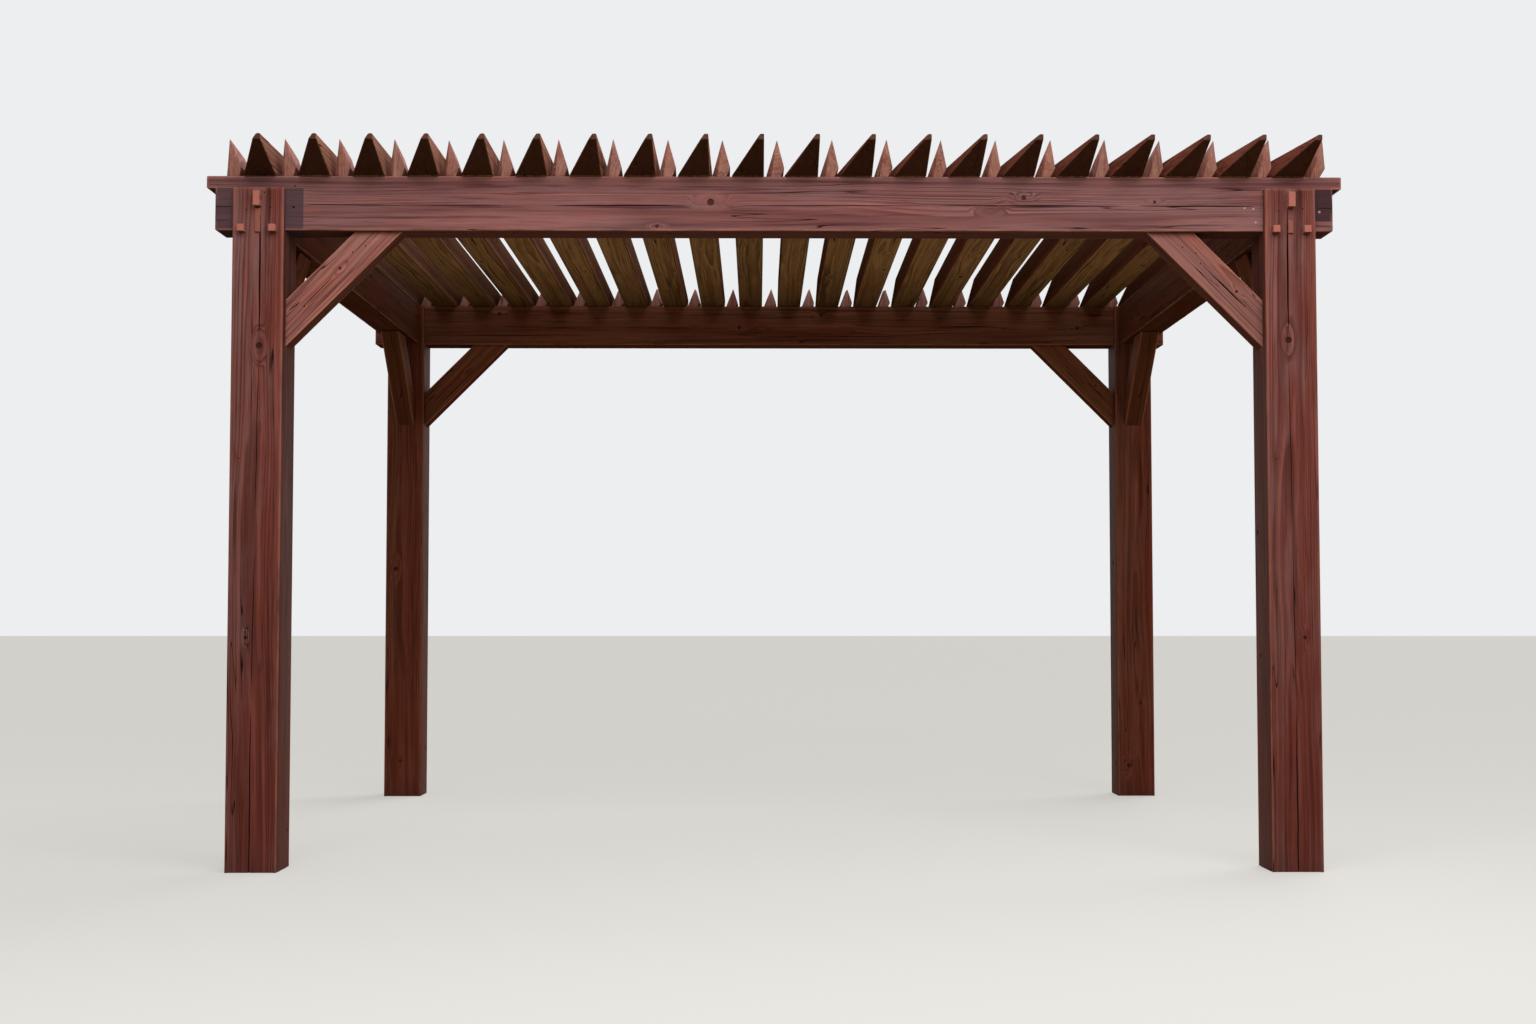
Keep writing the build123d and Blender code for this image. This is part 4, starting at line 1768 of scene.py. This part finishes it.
@dataclass
class SpacerRows(Assembly):
    """Pointed blocks that stand on the long beams between the rafters and lean out over the beam's face.

    Attributes:
        wide: width of a block, in metres.
        face: width of its outer face, whose left end is an upright arris.
        facet: how far the left side falls back behind that arris.
        undercut: foot of the right side, in from its shoulder.
        shoulder: height of the right shoulder.
        apex_shift: how far the ridge lies to the right of the middle.
        lean: how far the outer face leans out.
        inner_drop: how far the ridge falls towards the inside.
        arris: rounding of the arrises.
    """

    wide: float = 74 * MM
    face: float = 50 * MM
    facet: float = 34 * MM
    undercut: float = 15 * MM
    shoulder: float = 30 * MM
    apex_shift: float = 8 * MM
    lean: float = 80 * MM
    inner_drop: float = 28 * MM
    arris: float = 2 * MM

    def build(self) -> None:
        """Models one block, copies it along both beams with a little play, and dresses the rows."""
        middles = [(low.x + high.x) / 2 for low, high in map(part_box, nodes_of("rafter_"))]
        pitch = (middles[-1] - middles[0]) / (len(middles) - 1)
        places = [middles[0] + (i - 0.5) * pitch for i in range(len(middles) + 1)]
        for end, out in (("front", -1), ("rear", 1)):
            node = f"spacers_{end}"
            low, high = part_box(node)
            beam_low, beam_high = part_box(f"beam_{end}")
            pattern = self.shape(low, high, beam_low, beam_high, out)
            chance = random.Random(node)
            parts = []
            for index, place in enumerate(places):
                part = own_copy(pattern, f"{node}_{index}")
                part.location = (place, 0, 0)
                self.settle(part, place, (beam_low.y + beam_high.y) / 2, beam_high.z, chance)
                parts.append(part)
            bpy.data.objects.remove(pattern)
            piece = joined(parts, f"{node}_timber")
            # The rear row is darker, tone 0.7: painted shade of the roof.
            grain = Grain(Vector((0, (low.y + high.y) / 2 + 0.35, 0)), UP, Marks(), 1.0 if out < 0 else 0.7)
            self.finish(piece, SPACER_WOOD, grain, 1.2 * MM)
            self.hand_over(piece, Slot.SPACER, node)

    @staticmethod
    def settle(part: Piece, place: float, deep: float, seat: float, chance: random.Random) -> None:
        """Puts one block in its place, a little narrower, shorter and turned a little, as if set by hand.

        Args:
            part: a copy of the pattern.
            place: X of its middle.
            deep: Y of the beam's middle.
            seat: height of the beam's top.
            chance: what makes each block a little different.
        """
        settle_in_frame(part)
        foot = (place, deep, seat)
        with Bench(part):
            bpy.ops.mesh.select_all(action="SELECT")
            bpy.ops.transform.resize(value=(chance.uniform(0.93, 0.98), 1.0, chance.uniform(0.95, 1.0)),
                                     center_override=foot)
            bpy.ops.transform.rotate(value=math.radians(chance.uniform(-0.5, 0.5)), orient_axis="Z",
                                     center_override=foot)

    def shape(self, low: Vector, high: Vector, beam_low: Vector, beam_high: Vector, out: int) -> Piece:
        """Shaves the block at X 0 to its leaning face, its facet, the slopes of its ridge and its undercut.

        Args:
            low: lowest corner of the row.
            high: its highest corner.
            beam_low: lowest corner of the beam under it; not used.
            beam_high: its highest corner.
            out: the sign of Y on the beam's outer side.

        Returns:
            The pattern of the row's blocks.
        """
        seat = beam_high.z
        tip, inner = (low.y, high.y) if out < 0 else (high.y, low.y)
        outer = tip - out * self.lean
        left, right = -self.wide / 2, self.wide / 2
        made = block("spacer_pattern", (left, low.y, seat), (right, high.y, high.z))
        shoulder_out = out * self.lean * self.shoulder / (high.z - seat)
        shoulder = Vector((right, outer + shoulder_out, seat + self.shoulder))
        apex = Vector((self.apex_shift, tip, high.z))
        ridge_end = Vector((self.apex_shift, inner, high.z - self.inner_drop))
        arris_foot = Vector((right - self.face, outer, seat))
        left_foot = Vector((left, outer - out * self.facet, seat))
        right_foot = Vector((right - self.undercut, outer, seat))
        inside = Vector((0, (outer + inner) / 2, seat + self.shoulder))
        with Bench(made) as bench:
            bench.shave(inside, arris_foot, arris_foot + RIGHT, apex)
            bench.shave(inside, left_foot, arris_foot, apex)
            bench.shave(inside, left_foot, apex, ridge_end)
            bench.shave(inside, shoulder, ridge_end, apex)
            bench.shave(inside, right_foot, right_foot + BACK, Vector((right, outer, seat + self.shoulder)))
            bench.round_arrises(self.arris, lambda at: at.z < seat + 1 * MM)
            bench.border(2.5 * MM)
        return made


@dataclass
class NailHeads(Assembly):
    """Round nail heads on the beams' faces and over the rafters' seats.

    Attributes:
        radius: of a head, in metres.
        proud: how far it stands out.
    """

    radius: float = 4.5 * MM
    proud: float = 1.4 * MM

    def build(self) -> None:
        """Models one head, copies it to every place and joins the copies."""
        pattern = self.shape()
        beam_low, beam_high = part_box("beam_front")
        spots = [(Vector((x, beam_low.y, z)), FRONT) for x, z in
                 ((1.756, 2.462), (1.789, 2.459), (1.797, 2.409), (2.036, 2.448))]
        for node in nodes_of("rafter_"):
            low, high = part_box(node)
            chance = random.Random(node)
            for seat in ("beam_front", "beam_rear"):
                seat_low, seat_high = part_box(seat)
                for side in (-1, 1):
                    x = (low.x + high.x) / 2 + 0.028 + side * chance.uniform(0.008, 0.018)
                    y = (seat_low.y + seat_high.y) / 2 + side * chance.uniform(0.01, 0.03)
                    spots.append((Vector((x, y, high.z)), UP))
        parts = []
        for index, (spot, out) in enumerate(spots):
            part = own_copy(pattern, f"nail_{index}")
            part.matrix_world = Matrix.Translation(spot) @ out.to_track_quat("Z", "Y").to_matrix().to_4x4()
            settle_in_frame(part)
            parts.append(part)
        bpy.data.objects.remove(pattern)
        piece = joined(parts, "nail_heads")
        piece.data.materials.clear()
        piece.data.materials.append(NAIL_STEEL.material())
        smooth(piece)
        self.hand_over(piece, None)

    def shape(self) -> Piece:
        """Models a domed head with a short shank into the wood.

        Returns:
            The pattern of all heads.
        """
        bpy.ops.object.select_all(action="DESELECT")
        bpy.ops.mesh.primitive_cylinder_add(vertices=12, radius=self.radius, depth=self.proud,
                                            location=(0, 0, self.proud / 2 - 0.4 * MM))
        bpy.ops.object.transform_apply(location=True, rotation=True, scale=True)
        made = bpy.context.object
        with Bench(made) as bench:
            bench.pick_faces(lambda face: face.normal.z > PARALLEL)
            bpy.ops.mesh.inset(thickness=self.radius * 0.4, depth=0.3 * MM)
            bench.pick_faces(lambda face: face.normal.z < -PARALLEL)
            bpy.ops.mesh.inset(thickness=self.radius * 0.5, depth=0.0)
            bench.extrude(DOWN * 6 * MM)
        return made


@dataclass
class Studio:
    """The floor, the lights, the background and the camera.

    Attributes:
        camera_place: the camera's place, in metres.
        camera_up: how far it looks up, in degrees.
        camera_left: how far it looks to the left, in degrees.
        lens_mm: focal length on a 36 mm sensor.
        shift: the lens shift upwards, as a share of the picture's width.
        floor_shown: the floor's colour to the camera.
        floor_bounce: the floor's colour to the light that it throws back up.
        floor_glow: how much of the floor's look is even, and not the lamps' own light and shade.
        sky: the world's strength.
    """

    camera_place: Vector = field(default_factory=lambda: Vector((-0.0645, -8.2006, 0.9364)))
    camera_up: float = 2.515
    camera_left: float = -0.33
    lens_mm: float = 42.5
    shift: float = 0.0163
    floor_shown: str = "E2E0DB"
    floor_bounce: str = "B4A488"
    floor_glow: float = 0.6
    sky: float = 0.32

    def build(self) -> None:
        """Sets up everything round the pergola."""
        self.floor()
        self.world()
        self.softbox("key", Vector((0.5, -5.0, 4.5)), Vector((0.0, -1.2, 1.9)), (7.0, 3.0), 275.0)
        self.sun("back", 142.0, 35.0, 1.6, 50.0)
        self.camera()

    def floor(self) -> None:
        """Lays the plain pale floor, which is clear from below so that the undersides can be looked at."""
        bpy.ops.object.select_all(action="DESELECT")
        bpy.ops.mesh.primitive_plane_add(size=160.0, location=(0, 0, -0.0005))
        floor = bpy.context.object
        floor.name = "floor"
        bpy.ops.object.transform_apply(location=True, rotation=True, scale=True)
        made = bpy.data.materials.new("pale_studio_floor")
        made.use_nodes = True
        tree = made.node_tree
        tree.nodes.clear()
        seen = self.seen_by_eye(tree)
        colour = add(tree, "ShaderNodeMix",
                     {MIX_FIRST: linear(self.floor_bounce), MIX_SECOND: linear(self.floor_shown)},
                     {MIX_FACTOR: seen}, data_type="RGBA")
        shader = add(tree, "ShaderNodeBsdfPrincipled", {"Roughness": 0.95, "Specular IOR Level": 0.1},
                     {"Base Color": colour.outputs[MIX_RESULT]})
        even = add(tree, "ShaderNodeEmission", {"Color": linear(self.floor_shown)})
        share = add(tree, "ShaderNodeMath", {1: self.floor_glow}, {0: seen}, operation="MULTIPLY")
        both = add(tree, "ShaderNodeMixShader", links={0: share, 1: shader, 2: even})
        clear = add(tree, "ShaderNodeBsdfTransparent")
        below = add(tree, "ShaderNodeNewGeometry").outputs["Backfacing"]
        open_below = add(tree, "ShaderNodeMixShader", links={0: below, 1: both, 2: clear})
        add(tree, "ShaderNodeOutputMaterial", links={"Surface": open_below})
        floor.data.materials.append(made)

    def world(self) -> None:
        """Lights the scene evenly, and shows a pale background to the camera."""
        world = bpy.data.worlds.new("studio_sky")
        bpy.context.scene.world = world
        world.use_nodes = True
        tree = world.node_tree
        tree.nodes.clear()
        seen = self.seen_by_eye(tree)
        soft = add(tree, "ShaderNodeBackground", {"Color": linear("F4F0EA"), "Strength": self.sky})
        shown = add(tree, "ShaderNodeBackground", {"Color": linear("EDEEF0"), "Strength": 1.0})
        both = add(tree, "ShaderNodeMixShader", links={0: seen, 1: soft, 2: shown})
        add(tree, "ShaderNodeOutputWorld", links={"Surface": both})

    @staticmethod
    def seen_by_eye(tree: Tree) -> Socket:
        """Adds what is 1 for camera, mirror and glass rays.

        Args:
            tree: the nodes of the floor or the world.

        Returns:
            The socket that gives it.
        """
        path = add(tree, "ShaderNodeLightPath")
        mirror = add(tree, "ShaderNodeMath",
                     links={0: path.outputs["Is Camera Ray"], 1: path.outputs["Is Glossy Ray"]},
                     operation="MAXIMUM")
        glass = add(tree, "ShaderNodeMath", links={0: mirror, 1: path.outputs["Is Transmission Ray"]},
                    operation="MAXIMUM")
        return glass.outputs[0]

    @staticmethod
    def softbox(name: str, place: Vector, target: Vector, size: tuple[float, float], power: float) -> None:
        """Hangs a wide soft lamp, near enough for its light to fall off towards the rear.

        Args:
            name: the lamp's name.
            place: its middle, in metres.
            target: the point that it is turned to.
            size: its width and height.
            power: in watts.
        """
        bpy.ops.object.select_all(action="DESELECT")
        turn = (target - place).to_track_quat("-Z", "Y").to_euler()
        bpy.ops.object.light_add(type="AREA", location=place, rotation=turn)
        lamp = bpy.context.object
        lamp.name = f"lamp_{name}"
        lamp.data.shape = "RECTANGLE"
        lamp.data.size, lamp.data.size_y = size
        lamp.data.energy = power
        lamp.visible_camera = False
        lamp.visible_glossy = False

    @staticmethod
    def sun(name: str, azimuth: float, height: float, power: float, softness: float) -> None:
        """Hangs a large far lamp, which lights the whole floor evenly.

        Args:
            name: the lamp's name.
            azimuth: how far it stands to the right of the front, in degrees.
            height: how high it stands, in degrees.
            power: its strength.
            softness: how wide it looks from the pergola, in degrees.
        """
        bpy.ops.object.select_all(action="DESELECT")
        bpy.ops.object.light_add(type="SUN", location=(0, -9, 8),
                                 rotation=(math.radians(90 - height), 0, math.radians(azimuth)))
        lamp = bpy.context.object
        lamp.name = f"lamp_{name}"
        lamp.data.energy = power
        lamp.data.angle = math.radians(softness)

    def camera(self) -> None:
        """Sets the camera at the photograph's viewing angle."""
        turn = (math.radians(90 + self.camera_up), 0.0, math.radians(self.camera_left))
        bpy.ops.object.camera_add(location=self.camera_place, rotation=turn)
        camera = bpy.context.object
        camera.name = "eye"
        camera.data.sensor_width = 36.0
        camera.data.lens = self.lens_mm
        camera.data.shift_y = self.shift
        bpy.context.scene.camera = camera


def main() -> None:
    """Builds the pergola's looks, group by group, and the studio round it."""
    logging.basicConfig(level=logging.INFO, format="%(message)s")
    bpy.context.scene.view_settings.view_transform = "Standard"
    groups = (Posts(), LongBeams(), SideBeams(), KneeBraces(), Rafters(), PegSets(), SpacerRows(),
              NailHeads())
    for group in groups:
        group.build()
        group.report()
    Studio().build()


if __name__ == "__main__":
    main()
